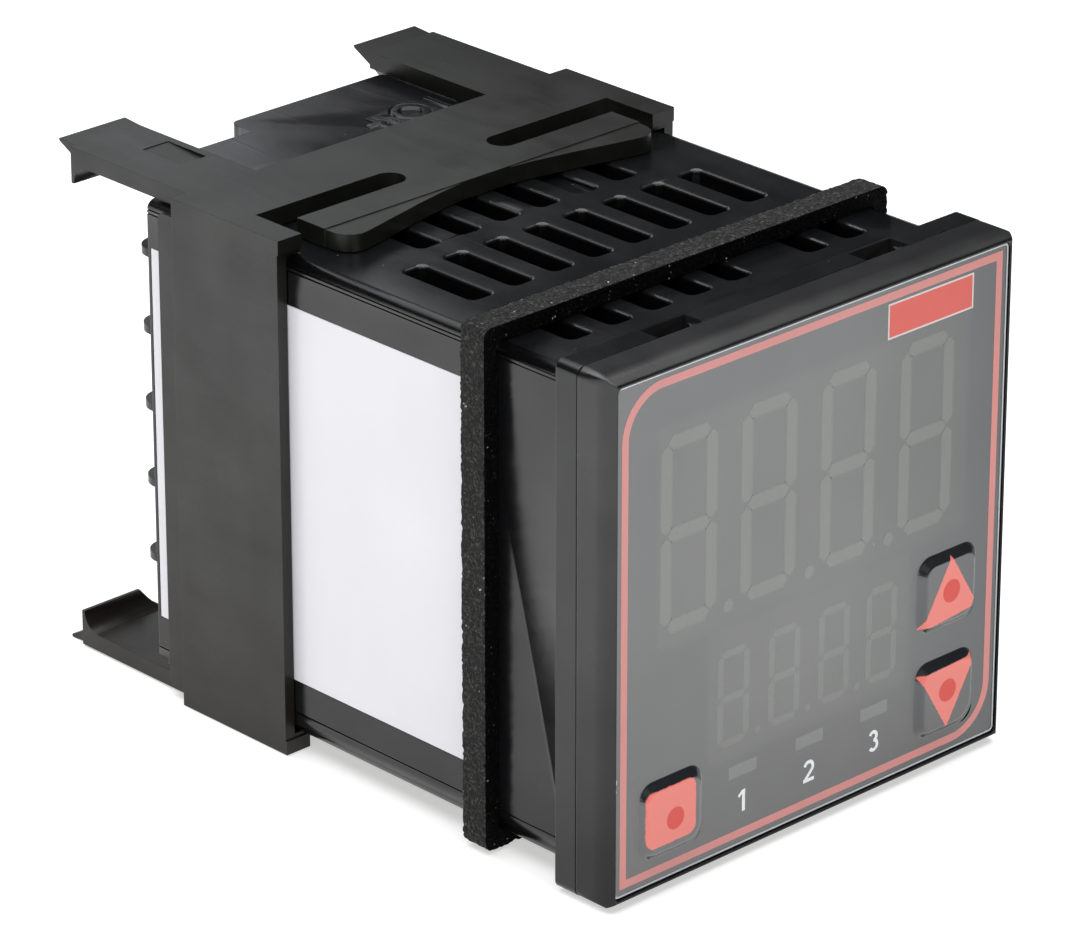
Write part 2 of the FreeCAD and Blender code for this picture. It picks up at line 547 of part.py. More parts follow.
c = cyl(PX, 33.0, -9.0, 6.2, 13.0, (-1, 0, 0))
cap = c.makeFillet(0.6, [e for e in c.Edges if len(e.Vertexes) == 1])
export("main_capacitor", cap)
caps = []
for y, z in ((21.5, -5.5), (21.5, -13.0)):
    c = cyl(PX, y, z, 3.15, 11.0, (-1, 0, 0))
    caps.append(c.makeFillet(0.4, [e for e in c.Edges if len(e.Vertexes) == 1]))
export("output_capacitors", Part.makeCompound(caps))
rect = box(PX - 6.0, PX, 18.5, 24.0, 11.2, 18.0)
export("bridge_rectifier", rect)
reg = fuse(box(PX - 4.5, PX, 11.0, 15.5, 3.0, 13.0), box(PX - 14.0, PX - 0.2, 15.5, 16.7, 3.0, 13.0))
export("voltage_regulator", reg)
choke = cut(cyl(PX, 14.0, -8.5, 4.4, 4.6, (-1, 0, 0)), cyl(PX + 1, 14.0, -8.5, 1.7, 7.0, (-1, 0, 0)))
export("filter_choke", choke)
varistor = fuse(cyl(PX - 7.0, 21.3, 5.3, 4.2, 2.0, (0, 1, 0)), box(PX - 7.0, PX, 21.9, 22.7, 3.2, 3.9),
                box(PX - 7.0, PX, 21.9, 22.7, 6.7, 7.4))
export("varistor", varistor)

# ---------------------------------------------------------------------------
# Panel gasket: loose foam frame on the sleeve
# ---------------------------------------------------------------------------
gasket = rprism(GASKET / 2, GASKET / 2, 0.9, GASKET_Y[0], GASKET_Y[1])
gasket = cut(gasket, rprism(H + 0.09, H + 0.09, CASE_R, GASKET_Y[0] - 1, GASKET_Y[1] + 1))
export("panel_gasket", gasket)

# ---------------------------------------------------------------------------
# Panel clamp: one moulding, ring, spring leaves top and bottom, four arms
# ---------------------------------------------------------------------------
ring = box(-CLAMP_X, CLAMP_X, CLAMP_Y[0], CLAMP_Y[1], -CLAMP_Z, CLAMP_Z)
# narrow side flanges that run on behind the ring
for sx in (-1, 1):
    f = box(sx * 21.6, sx * 22.95, CLAMP_Y[1] - 0.5, 50.85, -23.45, 22.1)
    f = f.makeFillet(0.8, [e for e in f.Edges if abs(e.Vertexes[0].X - e.Vertexes[-1].X) > 1
                           and e.BoundBox.YMin > 50])
    ring = fuse(ring, f)
top_parts = []
# spring leaf with its forward bumps
leaf_z0, leaf_z1 = CLAMP_BORE - 0.2, CLAMP_Z
leaf = box(-LEAF_X, LEAF_X, LEAF_FRONT, LEAF_REAR, leaf_z0, leaf_z1)
bumps = []
for sx in (-1, 1):
    pts = [(18.65, LEAF_FRONT + 0.3), (18.55, 32.7), (18.2, 31.9), (17.6, 31.35), (16.9, 31.1), (16.2, 31.15),
           (12.5, 32.0), (9.0, 32.8), (5.5, 33.5), (3.0, 33.85), (3.0, LEAF_FRONT + 0.3)]
    bumps.append(poly([(sx * a, b, leaf_z0) for a, b in pts], (0, 0, leaf_z1 - leaf_z0 - 0.10)))
# clear the front of the top wall, then put the leaf back
def front_cut(sz):
    z0, z1 = sz * 22.0, sz * 26.0
    return [box(-SLOT_X, SLOT_X, CLAMP_Y[0] - 1, SLOT_REAR, z0, z1)]
ring = cut(ring, front_cut(1), front_cut(-1))
# hub between the slots, its ends concave with the slots' round ends
hub = box(-HUB_X - 1.45, HUB_X + 1.45, LEAF_REAR - 0.2, SLOT_REAR + 0.5, leaf_z0, leaf_z1)
for sx in (-1, 1):
    hub = cut(hub, cyl(sx * (HUB_X + 1.45), (LEAF_REAR + SLOT_REAR) / 2, 20, 1.45, 6, (0, 0, 1)))
spring = fuse(leaf, hub, bumps)
spring_b = mirror_z(spring)
# arms: each ends in a lip that turns in behind the case, with a rounded root and
# one slanting side, and a thin tip outside it
LIP_T = 0.35
def make_arm(sx, outer):
    a0, a1 = sx * ARM_X[0], sx * outer
    arm = box(a0, a1, CLAMP_Y[1] - 2.0, ARM_END, CLAMP_BORE, 24.1)
    r = CLAMP_BORE - LIP_Z
    b0 = sx * LIP_X
    lip = box(b0, a1, ARM_END - LIP_T - r, ARM_END, LIP_Z, CLAMP_BORE + 0.1)
    lip = cut(lip, cyl(min(a0, a1) - 1, ARM_END - LIP_T - r, LIP_Z, r, abs(a1 - a0) + 2, (1, 0, 0)))
    lip = cut(lip, poly([(b0 - sx * 0.5, 0, CLAMP_BORE), (b0, 0, CLAMP_BORE), (b0 + sx * 1.4, 0, LIP_Z),
                         (b0 + sx * 1.4, 0, LIP_Z - 0.5), (b0 - sx * 0.5, 0, LIP_Z - 0.5)], (0, 80, 0)))
    t1 = a1 - sx * 0.5
    tip = poly([(a0, ARM_END - 0.2, 24.1), (a0, TIP_END - 0.25, 24.27), (a0, TIP_END, 24.16), (a0, TIP_END - 0.1, 23.95),
                (a0, ARM_END - 0.02, 22.85), (a0, ARM_END - 0.2, 22.85)], (t1 - a0, 0, 0))
    return fuse(arm, lip, tip)
arms = [make_arm(-1, ARM_X[1]), make_arm(1, ARM_X[1])]
# shallow pad recess on the left top arm
arms[0] = cut(arms[0], poly([(-17.5, 54.05, 23.75), (-17.5, 59.2, 24.02), (-17.5, 59.2, 25.0), (-17.5, 54.05, 25.0)],
                            (2.95, 0, 0)))
arms_b = [mirror_z(make_arm(-1, ARM_LOW)), mirror_z(make_arm(1, ARM_LOW))]
clamp = fuse(ring, spring, spring_b, arms, arms_b)
bore = rprism(CLAMP_BORE, CLAMP_BORE, CASE_R, CLAMP_Y[0] - 6, CLAMP_Y[1] + 4.0)
clamp = cut(clamp, bore)
# the mouth of the bore has square corners, and the side plates start a little further back
clamp = cut(clamp, box(-CLAMP_BORE, CLAMP_BORE, CLAMP_Y[0] - 6, CLAMP_Y[0] + 2.0, -CLAMP_BORE, CLAMP_BORE))
for sx in (-1, 1):
    clamp = cut(clamp, box(sx * (CLAMP_BORE - 2.0), sx * 25, CLAMP_Y[0] - 1, CLAMP_Y[0] + 0.15, -22.88, 22.88))
# gate mark on the right front post
nub = poly([(CLAMP_X - 0.1, 34.9, 22.35), (CLAMP_X - 0.1, 34.9, 22.85), (CLAMP_X + 0.3, 34.9, 22.62)], (0, 0.45, 0))
clamp = fuse(clamp, nub)
export("panel_clamp", clamp)
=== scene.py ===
import bpy, bmesh
import math
import random
from mathutils import Vector, Matrix
from mathutils import noise as noise3


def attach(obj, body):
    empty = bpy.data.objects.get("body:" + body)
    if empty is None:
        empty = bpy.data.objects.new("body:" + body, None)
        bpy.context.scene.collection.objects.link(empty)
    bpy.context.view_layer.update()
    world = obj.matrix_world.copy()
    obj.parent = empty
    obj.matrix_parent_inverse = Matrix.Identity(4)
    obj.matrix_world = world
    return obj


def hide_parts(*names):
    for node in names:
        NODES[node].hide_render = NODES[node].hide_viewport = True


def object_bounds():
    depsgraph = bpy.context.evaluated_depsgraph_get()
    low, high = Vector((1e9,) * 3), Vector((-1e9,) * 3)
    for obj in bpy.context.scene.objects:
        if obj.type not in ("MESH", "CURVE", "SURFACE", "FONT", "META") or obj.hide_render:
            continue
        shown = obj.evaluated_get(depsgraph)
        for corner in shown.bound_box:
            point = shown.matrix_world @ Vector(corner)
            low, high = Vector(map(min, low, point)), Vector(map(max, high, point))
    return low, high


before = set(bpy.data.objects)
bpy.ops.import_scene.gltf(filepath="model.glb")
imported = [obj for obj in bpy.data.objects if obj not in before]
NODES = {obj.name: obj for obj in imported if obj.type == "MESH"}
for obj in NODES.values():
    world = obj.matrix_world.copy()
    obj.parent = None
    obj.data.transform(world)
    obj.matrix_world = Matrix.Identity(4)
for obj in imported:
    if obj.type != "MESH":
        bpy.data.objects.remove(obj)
CAD_LO, CAD_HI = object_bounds()
MM = 0.001
rng = random.Random(7)

# ---------------------------------------------------------------------------
# Node-tree helpers
# ---------------------------------------------------------------------------


class Tree:
    """A material being built: short calls for the nodes used below."""

    def __init__(self, name):
        self.m = bpy.data.materials.new(name)
        self.m.use_nodes = True
        self.nt = self.m.node_tree
        self.nt.nodes.clear()
        self.out = self.nt.nodes.new("ShaderNodeOutputMaterial")
        self.bsdf = self.nt.nodes.new("ShaderNodeBsdfPrincipled")
        self.nt.links.new(self.bsdf.outputs[0], self.out.inputs[0])
        self.co = None

    def coords(self, scale=(1000.0, 1000.0, 1000.0), offset=(0, 0, 0)):
        """Object coordinates in millimetres, stretched by scale."""
        if self.co is None:
            self.co = self.nt.nodes.new("ShaderNodeTexCoord")
        mp = self.nt.nodes.new("ShaderNodeMapping")
        mp.inputs["Scale"].default_value = scale
        mp.inputs["Location"].default_value = offset
        self.nt.links.new(self.co.outputs["Object"], mp.inputs["Vector"])
        return mp.outputs[0]

    def noise(self, scale, detail=4.0, rough=0.55, stretch=(1000.0, 1000.0, 1000.0), distortion=0.0, offset=(0, 0, 0)):
        n = self.nt.nodes.new("ShaderNodeTexNoise")
        n.inputs["Scale"].default_value = scale
        n.inputs["Detail"].default_value = detail
        n.inputs["Roughness"].default_value = rough
        n.inputs["Distortion"].default_value = distortion
        self.nt.links.new(self.coords(stretch, offset), n.inputs["Vector"])
        return n.outputs["Fac"]

    def voronoi(self, scale, stretch=(1000.0, 1000.0, 1000.0), feature="F1"):
        n = self.nt.nodes.new("ShaderNodeTexVoronoi")
        n.feature = feature
        n.inputs["Scale"].default_value = scale
        self.nt.links.new(self.coords(stretch), n.inputs["Vector"])
        return n

    def ramp(self, fac, stops, interp="LINEAR"):
        n = self.nt.nodes.new("ShaderNodeValToRGB")
        n.color_ramp.interpolation = interp
        el = n.color_ramp.elements
        while len(el) > 1:
            el.remove(el[-1])
        el[0].position, el[0].color = stops[0][0], rgba(stops[0][1])
        for p, c in stops[1:]:
            e = el.new(p)
            e.color = rgba(c)
        self.nt.links.new(fac, n.inputs[0])
        return n.outputs[0]

    def span(self, fac, lo, hi, a=0.0, b=1.0):
        n = self.nt.nodes.new("ShaderNodeMapRange")
        n.inputs["From Min"].default_value = a
        n.inputs["From Max"].default_value = b
        n.inputs["To Min"].default_value = lo
        n.inputs["To Max"].default_value = hi
        self.nt.links.new(fac, n.inputs["Value"])
        return n.outputs[0]

    def math(self, op, a, b=None, c=None):
        n = self.nt.nodes.new("ShaderNodeMath")
        n.operation = op
        for i, v in enumerate((a, b, c)):
            if v is None:
                continue
            if isinstance(v, (int, float)):
                n.inputs[i].default_value = v
            else:
                self.nt.links.new(v, n.inputs[i])
        return n.outputs[0]

    def mix(self, fac, a, b, blend="MIX"):
        n = self.nt.nodes.new("ShaderNodeMix")
        n.data_type = "RGBA"
        n.blend_type = blend
        for sock, v in ((n.inputs["Factor"], fac), (n.inputs[6], a), (n.inputs[7], b)):
            if isinstance(v, (int, float)):
                sock.default_value = v
            elif isinstance(v, (tuple, list)):
                sock.default_value = rgba(v)
            else:
                self.nt.links.new(v, sock)
        return n.outputs[2]

    def axis(self, which):
        """One coordinate of the surface point, in millimetres."""
        n = self.nt.nodes.new("ShaderNodeSeparateXYZ")
        self.nt.links.new(self.coords(), n.inputs[0])
        return n.outputs["XYZ".index(which)]

    def normal(self, which):
        g = self.nt.nodes.new("ShaderNodeNewGeometry")
        n = self.nt.nodes.new("ShaderNodeSeparateXYZ")
        self.nt.links.new(g.outputs["True Normal"], n.inputs[0])
        return n.outputs["XYZ".index(which)]

    def bump(self, height, strength, distance=0.0001, after=None):
        n = self.nt.nodes.new("ShaderNodeBump")
        n.inputs["Strength"].default_value = strength
        n.inputs["Distance"].default_value = distance
        self.nt.links.new(height, n.inputs["Height"])
        if after is not None:
            self.nt.links.new(after, n.inputs["Normal"])
        return n.outputs[0]

    def edge(self, radius):
        """Rounds the shading over sharp edges."""
        n = self.nt.nodes.new("ShaderNodeBevel")
        n.samples = 6
        n.inputs["Radius"].default_value = radius
        return n.outputs[0]

    def to(self, socket, value):
        s = self.bsdf.inputs[socket]
        if isinstance(value, (int, float)):
            s.default_value = value
        elif isinstance(value, (tuple, list)):
            s.default_value = rgba(value)
        else:
            self.nt.links.new(value, s)


def rgba(c):
    return (c[0], c[1], c[2], 1.0)


def lin(r, g, b):
    """A colour given as 0..255 display values, made linear."""
    def f(v):
        v /= 255.0
        return v / 12.92 if v <= 0.04045 else ((v + 0.055) / 1.055) ** 2.4
    return (f(r), f(g), f(b))


def plastic(name, base, rough=(0.30, 0.42), grain=2.2, bump=0.10, shade=0.25, edge_mm=0.12, specular=0.5,
            scratches=0.0, dust=0.0, swirl=0.0, ior=1.5, low=None, fade=None, streak=0.0, foot=1.0):
    """Moulded black plastic: uneven gloss, faint flow marks, fine grain, rounded edges, specks of dust.

    low: diffuse colour towards the bottom, painted light standing in for the floor's bounce; fade: (x from, x to,
    factor) for a gloss that weakens to one side, painted shade; foot: gloss factor at the bottom, painted shade.
    """
    t = Tree(name)
    cloud = t.noise(0.10, 3.0, 0.5, distortion=0.4)
    fine = t.noise(grain * 2.0, 5.0, 0.6)
    lo = tuple(v * (1 - shade) for v in base)
    hi = tuple(v * (1 + shade) for v in base)
    col = t.ramp(cloud, [(0.30, lo), (0.70, hi)])
    # painted light: the colour turns warmer and lighter towards the bottom, standing in for the floor's bounce
    if low is not None:
        col = t.mix(t.span(t.axis("Z"), 1.0, 0.0, -20.0, 12.0), col, low)
    fleck = t.noise(grain, 2.0, 0.5, offset=(5, 1, 3))
    col = t.mix(t.span(fleck, 0.0, 0.30, 0.50, 0.8), col, tuple(v * 1.5 + 0.004 for v in base))
    if dust > 0:
        v = t.voronoi(0.55)
        spot = t.span(v.outputs["Distance"], 1.0, 0.0, 0.015, 0.050)
        keep = t.span(t.noise(0.23, 2.0, 0.5, offset=(3, 7, 1)), 0.0, 1.0, 0.57, 0.63)
        col = t.mix(t.math("MULTIPLY", t.math("MULTIPLY", spot, keep), dust), col, (0.42, 0.41, 0.38))
        v = t.voronoi(1.7)
        spot = t.span(v.outputs["Distance"], 1.0, 0.0, 0.03, 0.075)
        keep = t.span(t.noise(0.5, 2.0, 0.5, offset=(9, 2, 6)), 0.0, 1.0, 0.60, 0.66)
        col = t.mix(t.math("MULTIPLY", t.math("MULTIPLY", spot, keep), dust * 0.5), col, (0.30, 0.29, 0.27))
    t.to("Base Color", col)
    r = t.span(t.noise(0.16, 4.0, 0.6, offset=(2, 2, 9)), rough[0], rough[1], 0.3, 0.7)
    if swirl > 0:
        flow = t.noise(0.22, 3.0, 0.5, stretch=(1000.0, 240.0, 1000.0), distortion=1.2)
        r = t.math("ADD", r, t.span(flow, -swirl, swirl, 0.3, 0.7))
    t.to("Roughness", r)
    t.to("IOR", ior)
    level = t.span(t.noise(0.13, 3.0, 0.5, offset=(7, 5, 1)), specular * 0.90, specular * 1.10, 0.3, 0.7)
    # painted shade: the gloss weakens to one side and towards the bottom
    if fade is not None:
        level = t.math("MULTIPLY", level, t.span(t.axis("X"), 1.0, fade[2], fade[0], fade[1]))
    if foot != 1.0:
        level = t.math("MULTIPLY", level, t.span(t.axis("Z"), foot, 1.0, -22.0, 14.0))
    t.to("Specular IOR Level", level)
    n = t.edge(edge_mm * MM) if edge_mm > 0 else None
    n = t.bump(fine, bump, 0.00002, n)
    n = t.bump(t.noise(0.35, 2.0, 0.5, offset=(1, 4, 4)), 0.10, 0.00008, n)
    if scratches > 0:
        sc = t.noise(1.3, 2.0, 0.4, stretch=(1000.0, 60.0, 1000.0), offset=(8, 3, 2))
        n = t.bump(t.span(sc, 0.0, 1.0, 0.62, 0.68), scratches, 0.00001, n)
        sc = t.noise(2.1, 2.0, 0.4, stretch=(70.0, 1000.0, 900.0), offset=(3, 6, 2), distortion=0.6)
        n = t.bump(t.span(sc, 0.0, 1.0, 0.65, 0.70), scratches * 0.7, 0.00001, n)
    if streak > 0:
        # fine toolmaker's marks across the flats, as left by the mould's milling
        st = t.noise(3.0, 2.0, 0.5, stretch=(1000.0, 40.0, 1000.0))
        n = t.bump(st, streak, 0.00002, n)
    t.to("Normal", n)
    return t.m


# ---------------------------------------------------------------------------
# Materials
# ---------------------------------------------------------------------------
M = {}
M["case"] = plastic("case_plastic", (0.0036, 0.0038, 0.0043), rough=(0.17, 0.25), bump=0.05, edge_mm=0.13, scratches=0.22,
                    dust=0.35, swirl=0.02, specular=0.52, foot=0.82)
# painted shade: a near-black, almost unglossy copy of the case plastic for the vent walls, the lever slots and the
# inside of the sleeve
M["hollow_painted_shade"] = plastic("hollow_painted_shade", (0.0014, 0.0014, 0.0015), rough=(0.45, 0.6), bump=0.05, edge_mm=0.0, specular=0.04)
M["clamp"] = plastic("clamp_plastic", (0.0056, 0.0058, 0.0044), rough=(0.32, 0.44), bump=0.12, edge_mm=0.06, scratches=0.35,
                     dust=0.45, swirl=0.04, low=(0.0090, 0.0066, 0.0050), fade=(0.0, 22.0, 0.50), streak=0.10, specular=0.50, foot=0.72)
M["bezel"] = plastic("bezel_plastic", (0.0040, 0.0040, 0.0045), rough=(0.26, 0.34), bump=0.05, edge_mm=0.22, dust=0.3, specular=0.62, foot=0.55)
M["block"] = plastic("block_plastic", (0.006, 0.006, 0.0064), rough=(0.32, 0.42), bump=0.14, edge_mm=0.08, dust=0.3)


def foam():
    """Closed-cell foam, cut edges: crumbly grain, open cells, pale crumbs; the faces looking forward and back are
    painted darker and less glossy as shade.
    """
    t = Tree("gasket_foam")
    cells = t.voronoi(4.2)
    grains = t.noise(3.4, 6.0, 0.75)
    side = t.math("ABSOLUTE", t.normal("Y"))
    base = t.ramp(grains, [(0.38, (0.0010, 0.0010, 0.0010)), (0.50, (0.0080, 0.0078, 0.0074)), (0.58, (0.046, 0.045, 0.042)), (0.68, (0.13, 0.127, 0.12))])
    # painted shade: the faces looking forward and back turn near-black
    base = t.mix(t.span(side, 0.0, 0.88, 0.3, 0.8), base, (0.0012, 0.0012, 0.0012))
    for scale, off, size, amount, colour in ((1.5, (4, 4, 4), 0.17, 1.0, (0.80, 0.79, 0.76)),
                                             (3.3, (1, 8, 2), 0.20, 0.7, (0.30, 0.295, 0.28))):
        specks = t.voronoi(scale)
        dot = t.span(specks.outputs["Distance"], 1.0, 0.0, size * 0.3, size)
        keep = t.span(t.noise(0.8, 2.0, 0.5, offset=off), 0.0, 1.0, 0.55, 0.64)
        base = t.mix(t.math("MULTIPLY", t.math("MULTIPLY", dot, keep), amount), base, colour)
    t.to("Base Color", base)
    t.to("Roughness", t.span(grains, 0.55, 0.85, 0.3, 0.7))
    # painted shade: less gloss on the faces looking forward and back
    t.to("Specular IOR Level", t.span(side, 0.26, 0.04, 0.3, 0.8))
    n = t.bump(cells.outputs["Distance"], 0.9, 0.00022)
    n = t.bump(grains, 0.9, 0.00025, n)
    t.to("Normal", n)
    return t.m


M["foam"] = foam()


def label_paper():
    t = Tree("label_film")
    n1 = t.noise(0.08, 3.0, 0.5)
    t.to("Base Color", t.ramp(n1, [(0.3, (0.735, 0.73, 0.765)), (0.7, (0.77, 0.765, 0.80))]))
    t.to("Roughness", t.span(t.noise(0.3, 3.0, 0.5), 0.30, 0.40, 0.3, 0.7))
    t.bsdf.inputs["Coat Weight"].default_value = 0.15
    n = t.bump(t.noise(3.0, 4.0, 0.6), 0.10, 0.00002, t.edge(0.03 * MM))
    t.to("Normal", n)
    return t.m


M["label"] = label_paper()

FILM_ROUGH = (0.17, 0.24)


def film_material(name, base, extra=None, rough=FILM_ROUGH, ior=1.5, coat=0.0, wave=0.10, level=0.5, fade=True):
    """Hard-coated film: satin gloss with a very shallow waviness and dust."""
    t = Tree(name)
    n1 = t.noise(0.07, 3.0, 0.5, distortion=0.3)
    lo = tuple(v * 0.95 for v in base)
    hi = tuple(v * 1.05 for v in base)
    col = t.ramp(n1, [(0.3, lo), (0.7, hi)])
    matt = None
    if extra is not None:
        col = extra(t, col)
        if isinstance(col, tuple):
            col, matt = col
    t.to("Base Color", col)
    t.to("Roughness", t.span(t.noise(0.4, 4.0, 0.6), rough[0], rough[1], 0.3, 0.7))
    t.to("IOR", ior)
    gloss = t.span(t.noise(0.09, 2.0, 0.5, offset=(4, 1, 8)), level * 0.94, level * 1.06, 0.3, 0.7)
    # painted shade: the gloss weakens towards the right
    if fade:
        gloss = t.math("MULTIPLY", gloss, t.span(t.axis("X"), 1.0, 0.72, 4.0, 23.0))
    # painted shade on the key pads' upper slopes: gloss and coat are cut on faces looking upward; the print itself is
    # also less glossy
    if matt is not None:
        up = t.normal("Z")
        gloss = t.math("MULTIPLY", gloss, t.math("MULTIPLY", t.span(matt, 1.0, 0.42), t.span(up, 1.0, 0.12, 0.04, 0.22)))
    t.to("Specular IOR Level", gloss)
    if coat > 0:
        # painted shade: the coat thins towards the right
        weight = t.span(t.axis("X"), coat, coat * 0.45, -2.0, 23.0)
        if matt is not None:
            weight = t.math("MULTIPLY", weight, t.math("MULTIPLY", t.span(matt, 1.0, 0.25), t.span(up, 1.0, 0.05, 0.04, 0.22)))
        t.to("Coat Weight", weight)
        t.bsdf.inputs["Coat Roughness"].default_value = 0.16
    n = t.bump(t.noise(0.30, 2.0, 0.5), wave, 0.00008)
    n = t.bump(t.noise(6.0, 3.0, 0.6), 0.05, 0.00001, n)
    t.to("Normal", n)
    if coat > 0:
        t.to("Coat Normal", n)
    return t.m


def window_tint(t, col):
    """Display windows a shade greener and lighter than the printed surround, dust flecks."""
    x, z = t.axis("X"), t.axis("Z")

    def inside(x0, x1, z0, z1, soft=0.35):
        def ramp(v, a, b):
            up = t.span(v, 0.0, 1.0, a - soft, a + soft)
            dn = t.span(v, 1.0, 0.0, b - soft, b + soft)
            return t.math("MULTIPLY", up, dn)
        return t.math("MULTIPLY", ramp(x, x0, x1), ramp(z, z0, z1))
    up = inside(-18.4, 18.6, -1.9, 18.2)
    lo = inside(-12.4, 11.9, -14.6, -2.0)
    both = t.math("MAXIMUM", up, lo)
    col = t.mix(t.math("MULTIPLY", both, 0.85), col, (0.030, 0.036, 0.030))
    # fine dust caught under and on the film
    v = t.voronoi(0.42)
    spot = t.span(v.outputs["Distance"], 1.0, 0.0, 0.012, 0.04)
    keep = t.span(t.noise(0.19, 2.0, 0.5, offset=(6, 2, 3)), 0.0, 1.0, 0.56, 0.60)
    col = t.mix(t.math("MULTIPLY", t.math("MULTIPLY", spot, keep), 0.30), col, (0.55, 0.56, 0.55))
    v2 = t.voronoi(0.61, stretch=(1000.0, 1000.0, 700.0))
    spot2 = t.span(v2.outputs["Distance"], 1.0, 0.0, 0.010, 0.035)
    keep2 = t.span(t.noise(0.24, 2.0, 0.5, offset=(1, 9, 5)), 0.0, 1.0, 0.57, 0.61)
    col = t.mix(t.math("MULTIPLY", t.math("MULTIPLY", spot2, keep2), 0.45), col, (0.55, 0.56, 0.55))
    return col


GLASS = dict(ior=1.90, coat=0.75)
M["film"] = film_material("front_film", (0.014, 0.016, 0.019), window_tint, **GLASS)
M["film_edge"] = film_material("film_edge", (0.62, 0.65, 0.67), None, rough=(0.3, 0.4))
M["pad"] = film_material("key_pad_film", (0.010, 0.011, 0.012), None, **GLASS)
M["salmon"] = film_material("print_salmon", (0.66, 0.105, 0.075), None)
M["border"] = film_material("print_border", (0.56, 0.185, 0.165), None, ior=1.6, coat=0.45)
M["dot"] = film_material("print_dot", (0.50, 0.035, 0.022), None)
M["numeral"] = film_material("print_numeral", (0.74, 0.78, 0.79), None)
M["segment"] = film_material("digit_segment", (0.070, 0.080, 0.070), None, **GLASS)
M["segment_soft"] = film_material("digit_segment_soft", (0.048, 0.055, 0.048), None, **GLASS)
M["segment_rim"] = film_material("digit_outline", (0.021, 0.024, 0.022), None, **GLASS)
M["segment_low"] = film_material("digit_segment_low", (0.060, 0.068, 0.060), None, **GLASS)
M["lamp_window"] = film_material("lamp_window", (0.075, 0.085, 0.080), None, **GLASS)
M["field"] = film_material("print_field", (0.62, 0.090, 0.070), None)
M["field_edge"] = film_material("print_field_edge", (0.62, 0.55, 0.54), None)


def simple(name, base, rough, metallic=0.0, grain=1.5, bump=0.1, shade=0.15, edge_mm=0.1, stretch=(1000.0, 1000.0, 1000.0), coat=0.0):
    t = Tree(name)
    n1 = t.noise(0.5, 4.0, 0.55)
    t.to("Base Color", t.ramp(n1, [(0.3, tuple(v * (1 - shade) for v in base)), (0.7, tuple(min(1, v * (1 + shade)) for v in base))]))
    t.to("Roughness", t.span(t.noise(grain, 4.0, 0.6), rough[0], rough[1], 0.3, 0.7))
    t.bsdf.inputs["Metallic"].default_value = metallic
    if coat:
        t.bsdf.inputs["Coat Weight"].default_value = coat
    n = t.edge(edge_mm * MM) if edge_mm else None
    n = t.bump(t.noise(grain * 2, 4.0, 0.6, stretch=stretch), bump, 0.00003, n)
    t.to("Normal", n)
    return t.m


M["contact"] = simple("contact_metal", (0.66, 0.60, 0.46), (0.28, 0.42), 1.0)
M["washer"] = simple("washer_steel", (0.62, 0.62, 0.60), (0.26, 0.38), 1.0)
M["screw"] = simple("screw_steel", (0.66, 0.67, 0.68), (0.20, 0.32), 1.0, stretch=(1000.0, 1000.0, 1000.0))
M["rubber"] = simple("seal_rubber", (0.02, 0.02, 0.02), (0.6, 0.8))
M["board"] = simple("circuit_board", (0.015, 0.11, 0.045), (0.28, 0.4), coat=0.4)
M["black"] = simple("switch_plastic", (0.015, 0.015, 0.016), (0.35, 0.5))
M["relay"] = simple("relay_case", (0.03, 0.032, 0.036), (0.22, 0.32))
M["epoxy"] = simple("chip_epoxy", (0.012, 0.012, 0.012), (0.5, 0.65), grain=5.0)
M["can"] = simple("crystal_can", (0.72, 0.72, 0.72), (0.2, 0.3), 1.0)
M["core"] = simple("core_steel", (0.30, 0.31, 0.33), (0.35, 0.5), 1.0, stretch=(6000.0, 300.0, 300.0), bump=0.5)
M["copper"] = simple("copper_wire", (0.55, 0.20, 0.07), (0.25, 0.35), 0.8, stretch=(300.0, 300.0, 6000.0), bump=0.6)
M["bobbin"] = simple("bobbin_plastic", (0.50, 0.46, 0.34), (0.45, 0.55))
M["capacitor"] = simple("capacitor_sleeve", (0.02, 0.035, 0.10), (0.25, 0.35))
M["ferrite"] = simple("ferrite", (0.045, 0.04, 0.038), (0.4, 0.55))
M["varistor"] = simple("varistor_epoxy", (0.03, 0.10, 0.42), (0.25, 0.35))
M["display"] = simple("display_face", (0.16, 0.165, 0.16), (0.5, 0.6))
M["lamp"] = simple("lamp_lens", (0.42, 0.42, 0.40), (0.3, 0.4))


def put(obj, *mats):
    obj.data.materials.clear()
    for m in mats:
        obj.data.materials.append(m)


for node, key in (("case_sleeve", "case"), ("side_label", "label"), ("rear_terminal_block", "block"), ("terminal_barriers", "block"),
                  ("terminal_plates", "contact"), ("clamp_washers", "washer"), ("terminal_screws", "screw"),
                  ("front_bezel", "bezel"), ("bezel_seal", "rubber"), ("front_film", "film"), ("key_set", "pad"), ("key_up", "pad"),
                  ("key_down", "pad"), ("upper_display", "display"), ("lower_display", "display"), ("indicator_lamps", "lamp"),
                  ("display_board", "board"), ("main_board", "board"), ("power_board", "board"), ("key_switches", "black"),
                  ("board_headers", "black"), ("output_relay_1", "relay"), ("output_relay_2", "relay"), ("microcontroller", "epoxy"),
                  ("memory_chip", "epoxy"), ("output_driver", "epoxy"), ("bridge_rectifier", "epoxy"), ("voltage_regulator", "epoxy"),
                  ("crystal", "can"), ("transformer_core", "core"), ("transformer_winding", "copper"), ("transformer_base", "bobbin"),
                  ("main_capacitor", "capacitor"), ("output_capacitors", "capacitor"), ("filter_choke", "ferrite"),
                  ("varistor", "varistor"), ("panel_gasket", "foam"), ("panel_clamp", "clamp")):
    put(NODES[node], M[key])

# ---------------------------------------------------------------------------
# Mesh helpers (millimetres in, metres out)
# ---------------------------------------------------------------------------


